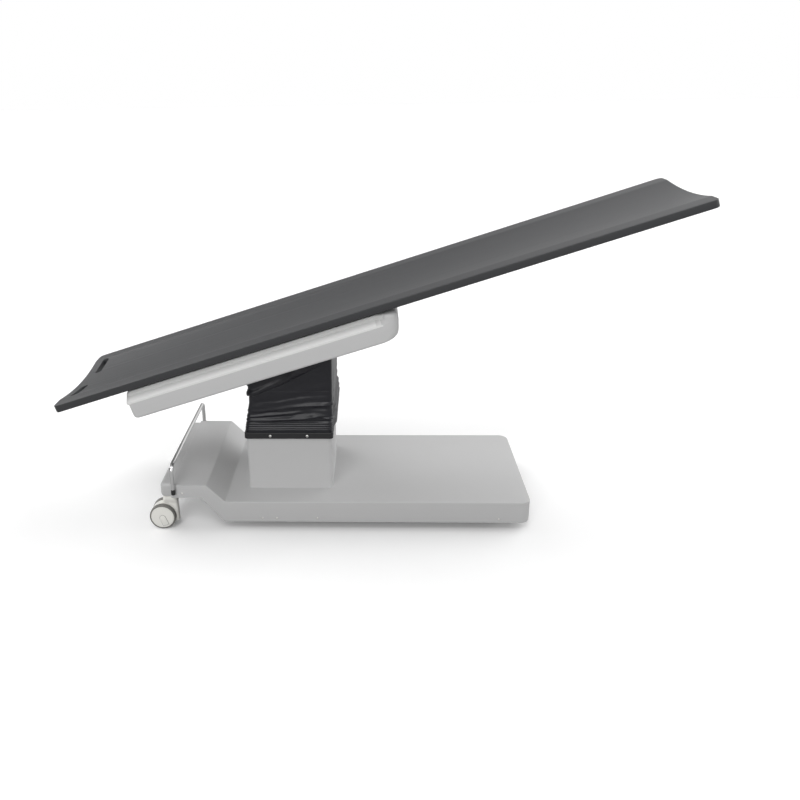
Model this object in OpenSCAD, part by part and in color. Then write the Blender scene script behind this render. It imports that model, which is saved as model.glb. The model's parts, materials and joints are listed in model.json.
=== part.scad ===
// Radiography table: a dished tabletop on a tilting deck, carried by a telescopic column
// on a low base with swivel casters. Millimetres, +Z up, origin on the floor under the
// middle of the object, +X towards the raised end, -Y towards the viewer's side.

/* [Tabletop] */
// Length of the tabletop
top_length = 2300; // [2240:10:2360]
// Width of the tabletop
top_width = 550; // [540:2:560]
// Thickness of the flat rims
rim_thick = 26; // [24:1:28]
// Depth of the dish below the rims
dish_depth = 15; // [12:1:17]
// Radius of the dish across the width
dish_radius = 1425; // [1350:25:1500]
// Thickness of the panel in the middle
panel_thick = 24; // [22:0.5:25]
// Rounding of the tabletop's corners seen from above
top_corner = 20; // [12:1:26]
// Length of each hand slot
slot_length = 130; // [110:2:140]
// Width of each hand slot
slot_width = 26; // [24:1:28]
// Distance of the hand slots from the low end
slot_inset = 50; // [46:1:56]
// Distance of each hand slot's middle from the centre line
slot_offset = 135; // [125:1:140]
// Length of the tabletop on the low side of the pivot
low_length = 825; // [800:5:850]

/* [Deck] */
// Tilt of the table as shown, in degrees
tilt = 17.6; // [15:0.2:19]
// Height of the tabletop's rim underside over the tilt shaft
table_rise = 70; // [69:0.5:72]
// Length of the deck housing on the low side
deck_low = 566; // [550:2:580]
// Length of the deck housing on the high side
deck_high = 415; // [400:2:430]
// Width of the deck housing's lower shell
deck_width = 524; // [512:2:532]
// Inset of the upper shell on each side
deck_inset = 25; // [22:1:28]
// Thickness of the pads between the deck and the tabletop
rest_pad = 2; // [1.6:0.2:3]
// Bottom of the deck housing below the rim underside
deck_bottom = 104.5; // [102:0.5:107]
// Depth of the seam between the two shells
deck_seam = 50; // [48:1:52]
// Drop of the sloping shoulder of the upper shell
shoulder_drop = 17; // [15:1:19]
// Wall of the deck shells
deck_wall = 4; // [3:0.5:4.5]
// Rounding of the deck corners seen from above
deck_corner = 28; // [22:1:32]
// Bevel under the high end of the deck
deck_bevel = 34; // [28:1:38]
// Bevel under the low end of the deck
deck_low_bevel = 9; // [7:1:12]
// Width of a deck rail
rail_width = 40; // [36:1:44]
// Height of a deck rail
rail_height = 50; // [46:1:54]
// Wall of a deck rail
rail_wall = 3; // [2.5:0.5:4]
// Gap between the two deck rails
rail_spacing = 230; // [226:1:240]

/* [Column] */
// Height of the tilt shaft over the floor
pivot_z = 637; // [632:1:645]
// Width of the column cover along the table
cover_x = 311; // [305:1:316]
// Depth of the column cover across the table
cover_y = 364; // [356:1:370]
// Height of the column cover's top over the floor
cover_top = 332; // [326:1:334]
// Wall of the column cover
cover_wall = 3; // [2:0.5:4]
// Rounding of the column cover's corners
cover_corner = 14; // [10:1:18]
// Outer width of the fixed column tube
outer_tube_width = 180; // [176:1:184]
// Outer width of the middle column tube
tube_middle = 150; // [147:1:152]
// Outer width of the inner column tube
tube_inner = 120; // [118:1:121]
// Wall of the column tubes
tube_wall = 6; // [5:0.5:7]
// Top of the fixed column tube over the floor
tube_outer_top = 325; // [320:1:328]
// Bottom of the middle column tube over the floor
tube_middle_low = 160; // [155:1:165]
// Top of the middle column tube over the floor
tube_middle_top = 420; // [415:1:424]
// Bottom of the inner column tube over the floor
tube_inner_low = 262; // [258:1:266]
// Height of the head plate under the tilt shaft
head_drop = 65; // [64:0.5:68]
// Thickness of the head plate
head_thick = 12; // [10:0.5:12]
// Width of the head plate
head_width = 200; // [190:2:204]
// Radius of the tilt shaft
shaft_r = 15; // [14:0.25:16]

/* [Base] */
// Length of the platform on the long side of the column
platform_long = 866; // [850:2:880]
// Distance from the column to the foot of the slope
slope_foot = 228; // [224:1:234]
// Distance from the column to the top of the slope
slope_top = 292; // [288:1:298]
// Distance from the column to the end of the ledge
ledge_end = 423; // [420:1:430]
// Width of the base
base_width = 579; // [572:1:586]
// Height of the base's underside over the floor
base_low = 36; // [33:1:38]
// Height of the platform's top over the floor
platform_top = 116; // [112:1:119]
// Height of the ledge's top over the floor
ledge_top = 181; // [178:1:184]
// Height of the ledge's underside over the floor
ledge_low = 131; // [129:0.5:132]
// Distance from the column to the foot of the underside slope
under_foot = 235; // [232:1:240]
// Distance from the column to the top of the underside slope
under_top = 314; // [310:1:320]
// Wall of the base cover
base_wall = 4; // [3:0.5:5]
// Rounding of the platform's corners seen from above
base_corner = 36; // [30:1:42]
// Thickness of the chassis plate
chassis_thick = 6; // [5:0.5:7]
// Width of the end beam that carries the casters
beam_width = 41; // [40:0.5:43]
// Set-back of each end of the end beam from the base's side
beam_inset = 11.5; // [10:0.5:14]

/* [Casters] */
// Radius of a caster wheel
wheel_r = 47.5; // [46:0.5:48]
// Width of one caster wheel
wheel_width = 20; // [18:0.5:21]
// Width of the caster body between its two wheels
fork_width = 28; // [26:0.5:29]
// Distance of a caster's stem from the column
stem_x = 443; // [441:0.5:444]
// Distance of a caster's stem from its end of the end beam
stem_inset = 29; // [28:0.5:31]
// Offset of the wheel axle from the stem
trail = 20; // [18:0.5:22]
// Radius of a rear wheel
rear_r = 40; // [38:0.5:41]
// Width of a rear wheel
rear_width = 28; // [25:0.5:30]
// Distance of the rear wheels from the platform's long end
rear_end = 106; // [96:2:126]
// Distance of the rear wheels from the base's side
rear_inset = 74.5; // [72:0.5:77]

/* [Brake bar] */
// Height of the brake bar's axis over the floor
bar_z = 259; // [252:1:264]
// Height of the brake bar's pivot over the floor
bar_pivot_z = 156; // [154:0.5:158]
// Distance of the brake bar from the column
bar_x = 411; // [409:0.5:412]
// Radius of the bar's tube
bar_r = 6.5; // [6:0.25:7]
// Radius of the bends at the bar's two top corners
bar_bend = 22; // [18:1:26]

/* [Skirt] */
// Height of the band that clamps the skirt
band_height = 23; // [21:1:25]
// Thickness of the clamping band
band_thick = 4; // [3:0.5:5]
// Height of the skirt's carrying frame over the floor
skirt_mid_z = 500; // [494:1:506]
// Thickness of the skirt's cloth
cloth = 2.4; // [2:0.2:3]
// Depth of the small pleats
pleat = 5; // [4:0.5:6]

/* [Hidden] */
$fn = 72;

// Clearances
run_gap = 0.05;
seat_gap = 0.02;
slide_gap = 0.3;
free_gap = 1;
over = 5;

// Place of the column, from the tabletop's length and tilt, so that the object is centred
top_low_x = -table_rise * sin(tilt) - low_length * cos(tilt) - rim_thick * sin(tilt);
top_high_x = -table_rise * sin(tilt) + (top_length - low_length) * cos(tilt);
column_x = -(top_low_x + top_high_x) / 2;

// Sizes of the lesser pieces
long_run = 4 * top_length;
edge_fillet = 3;
cover_hole = 230;
flange_height = 20;
flange_width = 250;
flange_thick = 10;
chassis_rail_width = 50;
chassis_rail_height = 40;
chassis_rail_inset = 89.5;
chassis_rail_y = base_width / 2 - chassis_rail_inset;
beam_length = base_width - 2 * beam_inset;
stem_y = beam_length / 2 - stem_inset;
rear_x = platform_long - rear_end;
rear_y = base_width / 2 - rear_inset;
floor_inside = base_low + chassis_thick;
socket_r = 14;
socket_flange_r = 18;
socket_flange = 3;
stem_r = 8;
stem_top = ledge_top - socket_flange_r;
beam_round = 18;
axle_r = 5;
tyre_thick = 5;
cap_r = 36;
cap_thick = 2;
rear_axle_r = 6;
rear_cheek = 5;
rear_cheek_width = 36;
rear_tyre = 8;
rear_leg = 6;
wheel_gap = 4;
sleeve_r = 7.5;
sleeve_reach = 26;
brake_shaft_r = 5;
bar_y = base_width / 2 + sleeve_r + free_gap;
pad_thick = (outer_tube_width - tube_wall - tube_wall - tube_middle) / 2;
pad_thick_mid = (tube_middle - tube_wall - tube_wall - tube_inner) / 2;
pad_height = 40;
pad_width = 60;
drive_r = 25;
drive_x = -24;
drive_top = 430;
rod_r = 12;
drive_bore = rod_r + run_gap;
drive_case_r = 40;
drive_case = 60;
rod_low = 190;
head_z = pivot_z - head_drop;
cheek_thick = 12;
cheek_y = 60;
cheek_width = 76;
bush_r = 20;
bush_flange_r = 24;
bush_flange = 4;
lug_y = 86;
lug_thick = 12;
lug_width = 70;
shaft_end = lug_y + lug_thick + bush_flange;
saddle_length = 180;
saddle_thick = 8;
gear_x = 96;
gear_y = 68;
gear_rise = 24;
motor_r = 26;
motor_length = 60;
motor_drop = 30;
belly = dish_depth + panel_thick - rim_thick;
deck_top = belly + rest_pad;
deck_inner_top = deck_top + deck_wall;
beam_size = 40;
beam_height = 30;
mouth_x = 270;
mouth_y = 240;
screw_head_r = 3.5;
screw_head = 1.4;
screw_r = 2;
band_screw_r = 5;
band_screw_head = 2.2;
frame_thick = 4;
frame_width = 12;
frame_corner = 30;
rib_gap = 60;
inlet_end = 246;
inlet_x = platform_long - inlet_end;
inlet_width = 50;
inlet_height = 28;
inlet_depth = 30;
inlet_flange = 2;
battery_end = 446;
battery_x = platform_long - battery_end;
battery_width = 180;
battery_height = 55;
box_end = 226;
box_x = platform_long - box_end;
box_length = 150;
box_height = 50;

module at_column() { translate([column_x, 0, 0]) children(); }
module at_pivot() { translate([column_x, 0, pivot_z]) children(); }
module on_table() { at_pivot() rotate([0, -tilt, 0]) translate([0, 0, table_rise]) children(); }

// Box with rounded upright edges: x and y ranges, z range, corner radius
module round_box(x0, x1, y0, y1, z0, z1, r) {
  translate([x0 + r, y0, z0]) cube([x1 - x0 - 2 * r, y1 - y0, z1 - z0]);
  translate([x0, y0 + r, z0]) cube([x1 - x0, y1 - y0 - 2 * r, z1 - z0]);
  for (x = [x0 + r, x1 - r])
    for (y = [y0 + r, y1 - r])
      translate([x, y, z0]) cylinder(r = r, h = z1 - z0);
}

// Plain box from its ranges
module span_box(x0, x1, y0, y1, z0, z1) {
  translate([x0, y0, z0]) cube([x1 - x0, y1 - y0, z1 - z0]);
}

// Side outline in X and Z carried across the width y0 to y1
module side_profile(points, y0, y1) {
  translate([0, y1, 0]) rotate([90, 0, 0]) linear_extrude(y1 - y0) polygon(points);
}

module cross_cylinder(r, y0, y1) {
  translate([0, y1, 0]) rotate([90, 0, 0]) cylinder(r = r, h = y1 - y0);
}

module square_tube(outer, wall, z0, z1) {
  difference() {
    span_box(-outer / 2, outer / 2, -outer / 2, outer / 2, z0, z1);
    span_box(-outer / 2 + wall, outer / 2 - wall, -outer / 2 + wall, outer / 2 - wall,
      z0 - over, z1 + over);
  }
}

// Base: outline of the outer body, from the long end round to the underside slope
base_outline = [[platform_long, base_low], [platform_long, platform_top],
  [-slope_foot, platform_top], [-slope_top, ledge_top], [-ledge_end, ledge_top],
  [-ledge_end, ledge_low], [-under_top, ledge_low], [-under_foot, base_low]];
base_hollow = [[platform_long, 0], [platform_long, platform_top - base_wall],
  [-slope_foot, platform_top - base_wall], [-slope_top, ledge_top - base_wall],
  [-ledge_end, ledge_top - base_wall], [-ledge_end, 0]];

module base_plan(inset) {
  // the long end has rounded corners, the ledge end is square
  span_box(-ledge_end + inset, 0, -base_width / 2 + inset, base_width / 2 - inset, 0, ledge_top + over);
  round_box(-slope_foot, platform_long - inset, -base_width / 2 + inset, base_width / 2 - inset, 0,
    ledge_top + over, base_corner - inset);
}

// Places of the small screws on each long face: distance from the column, height
screw_shares = [-0.11, -0.05, 0.12, 0.87];
screw_z = base_low + chassis_thick + chassis_thick + edge_fillet;
ledge_screw_x = -ledge_end + beam_width;
ledge_screw_z = ledge_low + socket_flange_r;

module screw_places() {
  for (share = screw_shares)
    translate([share * platform_long, 0, screw_z]) children();
  translate([ledge_screw_x, 0, ledge_screw_z]) children();
}

module base_cover() {
  color("silver") at_column() difference() {
    intersection() {
      side_profile(base_outline, -base_width / 2, base_width / 2);
      base_plan(0);
    }
    intersection() {
      side_profile(base_hollow, -base_width / 2, base_width / 2);
      base_plan(base_wall);
    }
    span_box(-cover_hole / 2, cover_hole / 2, -cover_hole / 2, cover_hole / 2, platform_top - 2 * base_wall,
      platform_top + over);
    translate([-bar_x, 0, bar_pivot_z])
      cross_cylinder(brake_shaft_r + free_gap, -base_width, base_width);
    screw_places() cross_cylinder(screw_r + run_gap, -base_width, base_width);
    span_box(inlet_x - inlet_width / 2, inlet_x + inlet_width / 2, 0, base_width,
      floor_inside + edge_fillet, floor_inside + edge_fillet + inlet_height);
  }
}

// Chassis: a folded plate that follows the underside of the base
chassis_outline = [[platform_long, base_low], [platform_long, base_low + chassis_thick],
  [-under_foot, base_low + chassis_thick], [-under_top, ledge_low + chassis_thick],
  [-ledge_end, ledge_low + chassis_thick], [-ledge_end, ledge_low], [-under_top, ledge_low],
  [-under_foot, base_low]];
well_length = 2 * rear_r + 2 * over;
well_width = rear_width + 2 * rear_cheek + 4 * free_gap;

module chassis() {
  flange_y = base_width / 2 - base_wall - slide_gap;
  color("dimgray") at_column() difference() {
    union() {
      intersection() {
        side_profile(chassis_outline, -base_width / 2, base_width / 2);
        base_plan(base_wall + slide_gap);
      }
      for (side = [0, 1]) mirror([0, side, 0])
        span_box(-slope_foot + over, platform_long - 2 * base_corner, flange_y - chassis_thick, flange_y,
          floor_inside - seat_gap, floor_inside + flange_height);
    }
    span_box(inlet_x - inlet_width, inlet_x + inlet_width, 0, base_width, floor_inside,
      floor_inside + 2 * flange_height);
    for (side = [-1, 1])
      translate([rear_x, side * rear_y, 0])
        span_box(-well_length / 2, well_length / 2, -well_width / 2, well_width / 2, 0, platform_top);
  }
}

module chassis_rail() {
  difference() {
    span_box(-slope_foot + over, rear_x - well_length, -chassis_rail_width / 2,
      chassis_rail_width / 2, floor_inside, floor_inside + chassis_rail_height);
    span_box(-slope_foot, rear_x, -chassis_rail_width / 2 + rail_wall,
      chassis_rail_width / 2 - rail_wall, floor_inside + rail_wall,
      floor_inside + chassis_rail_height - rail_wall);
  }
}

module chassis_rails() {
  color("dimgray") at_column()
    for (side = [-1, 1]) translate([0, side * chassis_rail_y, 0]) chassis_rail();
}

module end_beam() {
  color("silver") at_column() difference() {
    union() {
      round_box(-ledge_end - beam_width, -ledge_end, -beam_length / 2, beam_length / 2, ledge_low,
        ledge_top, beam_round);
      span_box(-ledge_end - beam_width / 2, -ledge_end, -beam_length / 2, beam_length / 2,
        ledge_low, ledge_top);
    }
    span_box(-ledge_end - beam_width + base_wall, -ledge_end + over, -beam_length / 2 + beam_round,
      beam_length / 2 - beam_round, ledge_low + base_wall, ledge_top - base_wall);
    for (side = [-1, 1])
      translate([-stem_x, side * stem_y, ledge_low - over])
        cylinder(r = socket_r, h = over + stem_top - ledge_low);
  }
}

module caster_socket() {
  difference() {
    union() {
      cylinder(r = socket_r - seat_gap, h = stem_top - ledge_low);
      translate([0, 0, -socket_flange]) cylinder(r = socket_flange_r, h = socket_flange);
    }
    translate([0, 0, -over]) cylinder(r = stem_r + run_gap, h = ledge_top);
  }
}

module caster_sockets() {
  color("gray") at_column()
    for (side = [-1, 1]) translate([-stem_x, side * stem_y, ledge_low]) caster_socket();
}

module column_cover() {
  color("silver") at_column() difference() {
    round_box(-cover_x / 2, cover_x / 2, -cover_y / 2, cover_y / 2, platform_top, cover_top, cover_corner);
    round_box(-cover_x / 2 + cover_wall, cover_x / 2 - cover_wall, -cover_y / 2 + cover_wall,
      cover_y / 2 - cover_wall, 0, cover_top + over, cover_corner - cover_wall);
    band_screw_places() cross_cylinder(screw_r + run_gap, -cover_y, cover_y);
  }
}

module column_outer() {
  color("gainsboro") at_column() {
    square_tube(outer_tube_width, tube_wall, floor_inside, tube_outer_top);
    difference() {
      span_box(-flange_width / 2, flange_width / 2, -flange_width / 2, flange_width / 2, floor_inside,
        floor_inside + flange_thick);
      span_box(-outer_tube_width / 2 + tube_wall, outer_tube_width / 2 - tube_wall,
        -outer_tube_width / 2 + tube_wall, outer_tube_width / 2 - tube_wall, 0, platform_top);
    }
  }
}

module column_middle() {
  color("gainsboro") at_column()
    square_tube(tube_middle, tube_wall, tube_middle_low, tube_middle_top);
}

module column_inner() {
  color("gainsboro") at_column() square_tube(tube_inner, tube_wall, tube_inner_low, head_z - head_thick);
}

// Slide pads: one on each face of the smaller tube, fixed inside the mouth of the larger tube
module slide_pads(tube, thick, top) {
  for (turn = [0 : 3])
    rotate([0, 0, turn * 90])
      span_box(tube / 2 + run_gap, tube / 2 + thick, -pad_width / 2, pad_width / 2, top - pad_height, top);
}

module outer_pads() {
  color("white") at_column() slide_pads(tube_middle, pad_thick, tube_outer_top);
}

module middle_pads() {
  color("white") at_column() slide_pads(tube_inner, pad_thick_mid, tube_middle_top);
}

module lift_drive() {
  color("darkgray") at_column() translate([drive_x, 0, 0]) difference() {
    union() {
      translate([0, 0, floor_inside]) cylinder(r = drive_r, h = drive_top - floor_inside);
      translate([0, 0, floor_inside]) cylinder(r = drive_case_r, h = drive_case);
    }
    translate([0, 0, floor_inside + flange_thick]) cylinder(r = drive_bore, h = drive_top);
  }
}

module lift_rod() {
  color("lightgray") at_column() translate([drive_x, 0, rod_low])
    cylinder(r = rod_r, h = head_z - head_thick - rod_low);
}

module column_head() {
  color("gray") at_column() {
    span_box(-head_width / 2, head_width / 2, -head_width / 2, head_width / 2, head_z - head_thick, head_z);
    for (side = [0, 1]) mirror([0, side, 0]) difference() {
      union() {
        span_box(-cheek_width / 2, cheek_width / 2, cheek_y, cheek_y + cheek_thick, head_z - seat_gap,
          pivot_z);
        translate([0, 0, pivot_z]) cross_cylinder(cheek_width / 2, cheek_y, cheek_y + cheek_thick);
      }
      translate([0, 0, pivot_z]) cross_cylinder(bush_r, 0, base_width);
    }
  }
}

module tilt_bushes() {
  color("peru") at_column() for (side = [0, 1]) mirror([0, side, 0])
    translate([0, 0, pivot_z]) difference() {
      union() {
        cross_cylinder(bush_r - seat_gap, cheek_y, cheek_y + cheek_thick);
        cross_cylinder(bush_flange_r, cheek_y + cheek_thick, cheek_y + cheek_thick + bush_flange);
      }
      cross_cylinder(shaft_r + run_gap, 0, base_width);
    }
}

module tilt_gearmotor() {
  color("darkslategray") at_column() {
    difference() {
      span_box(-gear_x / 2, gear_x / 2, -gear_y / 2, gear_y / 2, head_z, pivot_z + gear_rise);
      translate([0, 0, pivot_z]) cross_cylinder(shaft_r + run_gap, -base_width, base_width);
    }
    translate([gear_x / 2 - seat_gap, 0, pivot_z - motor_drop]) rotate([0, 90, 0])
      cylinder(r = motor_r, h = motor_length);
  }
}

module tilt_shaft() {
  color("lightgray") at_pivot() cross_cylinder(shaft_r, -shaft_end, shaft_end);
}

module saddle() {
  color("gray") on_table() {
    span_box(-saddle_length / 2, saddle_length / 2, -rail_spacing / 2, rail_spacing / 2,
      -deck_inner_top - saddle_thick, -deck_inner_top);
    for (side = [0, 1]) mirror([0, side, 0]) difference() {
      union() {
        span_box(-lug_width / 2, lug_width / 2, lug_y, lug_y + lug_thick, -table_rise, -deck_inner_top);
        translate([0, 0, -table_rise]) cross_cylinder(lug_width / 2, lug_y, lug_y + lug_thick);
      }
      translate([0, 0, -table_rise]) cross_cylinder(shaft_r + seat_gap, 0, base_width);
    }
  }
}

rail_low = deck_low - deck_corner;
rail_high = deck_high - deck_bevel - deck_wall;

module deck_rails() {
  color("dimgray") on_table() for (side = [0, 1]) mirror([0, side, 0]) difference() {
    span_box(-rail_low, rail_high, rail_spacing / 2, rail_spacing / 2 + rail_width,
      -deck_inner_top - rail_height, -deck_inner_top);
    span_box(-deck_low, deck_high, rail_spacing / 2 + rail_wall, rail_spacing / 2 + rail_width - rail_wall,
      -deck_inner_top - rail_height + rail_wall, -deck_inner_top - rail_wall);
  }
}

beam_shares = [-0.88, -0.42, 0.34, 0.58];

module deck_crossbeams() {
  color("dimgray") on_table() for (share = beam_shares)
    translate([share * deck_low, 0, 0]) difference() {
      span_box(-beam_size / 2, beam_size / 2, -rail_spacing / 2, rail_spacing / 2,
        -deck_inner_top - beam_height, -deck_inner_top);
      span_box(-beam_size / 2 + rail_wall, beam_size / 2 - rail_wall, -rail_spacing, rail_spacing,
        -deck_inner_top - beam_height + rail_wall, -deck_inner_top - rail_wall);
    }
}

// Lower shell: a tub with bevelled ends and a mouth for the column head
bevel_in_share = 0.3;
bevel_up_share = 0.35;

module deck_lower_solid(inset) {
  low = -deck_bottom + inset;
  high = deck_high - inset;
  intersection() {
    side_profile([[-deck_low + inset, -deck_seam + inset], [high, -deck_seam + inset],
      [high, low + deck_bevel],
      [high - bevel_in_share * deck_bevel, low + bevel_up_share * deck_bevel], [high - deck_bevel, low],
      [-deck_low + inset + deck_low_bevel, low], [-deck_low + inset, low + deck_low_bevel]],
      -deck_width / 2 + inset, deck_width / 2 - inset);
    round_box(-deck_low + inset, high, -deck_width / 2 + inset, deck_width / 2 - inset, low - over, 0,
      deck_corner - inset);
  }
}

module housing_lower() {
  color("gainsboro") on_table() difference() {
    deck_lower_solid(0);
    deck_lower_solid(deck_wall);
    span_box(-mouth_x / 2, mouth_x / 2, -mouth_y / 2, mouth_y / 2, -deck_bottom - over, -deck_seam);
  }
}

// Upper shell: a lid with a sloping shoulder along each side
lid_width = deck_width - 2 * deck_inset;

module lid_solid(inset, low_x, lip) {
  // across the width: short flange, sloping shoulder, straight band and flat top
  flange_z = -deck_seam + edge_fillet;
  band_z = flange_z + shoulder_drop - inset / 2;
  intersection() {
    rotate([90, 0, 90]) translate([0, 0, -deck_low - 2 * over])
      linear_extrude(deck_low + deck_high + 4 * over)
        polygon([[-deck_width / 2 + inset, lip], [-deck_width / 2 + inset, flange_z],
          [-lid_width / 2 + inset, band_z], [-lid_width / 2 + inset, -deck_top - inset],
          [lid_width / 2 - inset, -deck_top - inset], [lid_width / 2 - inset, band_z],
          [deck_width / 2 - inset, flange_z], [deck_width / 2 - inset, lip]]);
    round_box(low_x, deck_high - inset, -deck_width / 2 + inset, deck_width / 2 - inset, lip - over, 0,
      deck_corner - inset);
  }
}

module housing_upper() {
  color("whitesmoke") on_table() difference() {
    lid_solid(0, -deck_low - over, -deck_seam);
    lid_solid(deck_wall, -deck_low + deck_wall, -deck_seam - over);
  }
}

module tabletop_pads() {
  color("black") on_table() for (share = beam_shares)
    translate([share * deck_low, 0, 0])
      span_box(-beam_size, beam_size, -beam_size, beam_size, -deck_top, -belly - seat_gap);
}

// Tabletop: flat rims and a dished middle of nearly even thickness
module tabletop() {
  high = top_length - low_length;
  centre_n = rim_thick - dish_depth + dish_radius;
  color("dimgray") on_table() difference() {
    union() {
      round_box(-low_length, high, -top_width / 2, top_width / 2, 0, rim_thick, top_corner);
      intersection() {
        translate([-low_length, 0, centre_n]) rotate([0, 90, 0])
          cylinder(r = dish_radius + panel_thick, h = top_length, $fn = 720);
        span_box(-low_length, high, -top_width / 2, top_width / 2, -rim_thick, rim_thick / 2);
      }
    }
    translate([-long_run / 2, 0, centre_n]) rotate([0, 90, 0])
      cylinder(r = dish_radius, h = long_run, $fn = 720);
    for (side = [-1, 1])
      translate([-low_length + slot_inset, side * slot_offset, 0]) slot_cut();
  }
}

module slot_cut() {
  reach = (slot_length - slot_width) / 2;
  deep = rim_thick + panel_thick;
  span_box(-slot_width / 2, slot_width / 2, -reach, reach, -deep, deep);
  for (side = [-1, 1])
    translate([0, side * reach, -deep]) cylinder(r = slot_width / 2, h = 2 * deep);
}

module battery_pack() {
  color("black") at_column()
    for (side = [-1, 1])
      round_box(battery_x - battery_width / 2, battery_x + battery_width / 2, side * rib_gap - rib_gap + over,
        side * rib_gap + rib_gap - over, floor_inside, floor_inside + battery_height, edge_fillet);
}

module control_box() {
  color("gray") at_column()
    round_box(box_x - box_length / 2, box_x + box_length / 2, -box_length / 2, box_length / 2, floor_inside,
      floor_inside + box_height, edge_fillet);
}

module mains_inlet() {
  z0 = floor_inside + edge_fillet;
  color("black") at_column() difference() {
    union() {
      span_box(inlet_x - inlet_width / 2 + run_gap, inlet_x + inlet_width / 2 - run_gap,
        base_width / 2 - inlet_depth, base_width / 2, z0 + run_gap, z0 + inlet_height - run_gap);
      span_box(inlet_x - inlet_width / 2 - inlet_flange, inlet_x + inlet_width / 2 + inlet_flange,
        base_width / 2, base_width / 2 + inlet_flange, z0 - inlet_flange, z0 + inlet_height + inlet_flange);
    }
    span_box(inlet_x - inlet_width / 2 + over, inlet_x + inlet_width / 2 - over,
      base_width / 2 - inlet_depth + over, base_width, z0 + over, z0 + inlet_height - over);
  }
}

module screw(reach) {
  // head on the outside of a face at y = 0, shank inwards
  cross_cylinder(screw_head_r, -screw_head, 0);
  cross_cylinder(screw_r, -seat_gap, reach);
}

module cover_screws() {
  color("lightgray") at_column() for (side = [0, 1]) mirror([0, side, 0])
    translate([0, -base_width / 2, 0]) screw_places() screw(base_wall);
}

// Skirt: clamping band, carrying frame and two lengths of folded cloth
band_x = cover_x / 2 + band_thick;
band_y = cover_y / 2 + band_thick;
band_low = cover_top - band_height / 2 - edge_fillet;
band_top = band_low + band_height;
band_screw_x = 67;
band_screw_z = band_low + band_height / 2;

module band_screw_places() {
  for (x = [-band_screw_x, band_screw_x]) translate([x, 0, band_screw_z]) children();
}

module skirt_band() {
  color("black") at_column() difference() {
    round_box(-band_x, band_x, -band_y, band_y, band_low, band_top, cover_corner + band_thick);
    round_box(-cover_x / 2 - seat_gap, cover_x / 2 + seat_gap, -cover_y / 2 - seat_gap,
      cover_y / 2 + seat_gap, band_low - over, band_top + over, cover_corner);
    band_screw_places() cross_cylinder(screw_r + run_gap, -base_width, base_width);
  }
}

module band_screws() {
  color("white") at_column() for (side = [0, 1]) mirror([0, side, 0])
    translate([0, -band_y, 0]) band_screw_places() {
      cross_cylinder(band_screw_r, -band_screw_head, 0);
      cross_cylinder(screw_r, -seat_gap, band_thick + cover_wall);
    }
}

skirt_x = cover_x / 2 - cloth;
skirt_y = cover_y / 2 - cloth;
frame_x = skirt_x - 2 * pleat - cloth - free_gap;
frame_y = skirt_y - 2 * pleat - cloth - free_gap;

module skirt_frame() {
  color("gray") at_column() difference() {
    round_box(-frame_x, frame_x, -frame_y, frame_y, skirt_mid_z - frame_thick / 2,
      skirt_mid_z + frame_thick / 2, frame_corner);
    for (side = [0, 1]) mirror([side, 0, 0]) {
      for (back = [0, 1]) mirror([0, back, 0])
        span_box(frame_width / 2, frame_x - frame_width, tube_inner / 2 + frame_width,
          frame_y - frame_width, 0, pivot_z);
      span_box(tube_inner / 2 + frame_width, frame_x - frame_width, -tube_inner / 2, tube_inner / 2, 0,
        pivot_z);
    }
    span_box(-tube_inner / 2 - seat_gap, tube_inner / 2 + seat_gap, -tube_inner / 2 - seat_gap,
      tube_inner / 2 + seat_gap, 0, pivot_z);
  }
}

module skirt_top_frame() {
  color("gray") on_table() difference() {
    round_box(-frame_x, frame_x, -frame_y, frame_y, -deck_bottom - frame_thick, -deck_bottom, frame_corner);
    span_box(-frame_x + frame_width, frame_x - frame_width, -frame_y + frame_width,
      frame_y - frame_width, -deck_bottom - 2 * frame_thick, -deck_bottom + over);
  }
}

// Outline of a cloth ring: a rectangle with cut corners
corner_cut = 18;

function ring_xy(grow) = [
  [skirt_x + grow, -skirt_y - grow + corner_cut], [skirt_x + grow, 0],
  [skirt_x + grow, skirt_y + grow - corner_cut], [skirt_x + grow - corner_cut, skirt_y + grow],
  [0, skirt_y + grow], [-skirt_x - grow + corner_cut, skirt_y + grow],
  [-skirt_x - grow, skirt_y + grow - corner_cut], [-skirt_x - grow, 0],
  [-skirt_x - grow, -skirt_y - grow + corner_cut], [-skirt_x - grow + corner_cut, -skirt_y - grow],
  [0, -skirt_y - grow], [skirt_x + grow - corner_cut, -skirt_y - grow]];
ring_count = 12;

// Folds: share of the height, and reach in or out as a share of the pleat's depth
low_fold_shares = [[0, 1.4], [0.06, 1.4], [0.1, 0.4], [0.15, -0.6], [0.2, 0.5], [0.25, -0.6],
  [0.3, 0.6], [0.36, -0.6], [0.45, 0.7], [0.55, -0.9], [0.67, 0.5], [0.78, -0.9], [0.9, 0.4], [1, -0.8]];
high_fold_shares = [[0, -0.8], [0.14, 0.4], [0.3, -0.6], [0.48, 0.6], [0.62, 0.2], [0.74, -0.9],
  [0.86, 0.3], [0.95, -0.9], [1, -0.9]];

// The lower length stands level, the upper length leans from level to the deck's underside
skirt_low = cover_top + slide_gap;
deck_drop = deck_bottom - table_rise + slide_gap;
frame_half = (frame_thick + slide_gap) / 2;
function blend(a, b, share) = a + share * (b - a);
function low_height(share) = blend(skirt_low, skirt_mid_z - frame_half, share);
function top_x(x) = x * cos(tilt) + deck_drop * sin(tilt);
function top_z(x) = pivot_z + x * sin(tilt) - deck_drop * cos(tilt);

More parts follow.
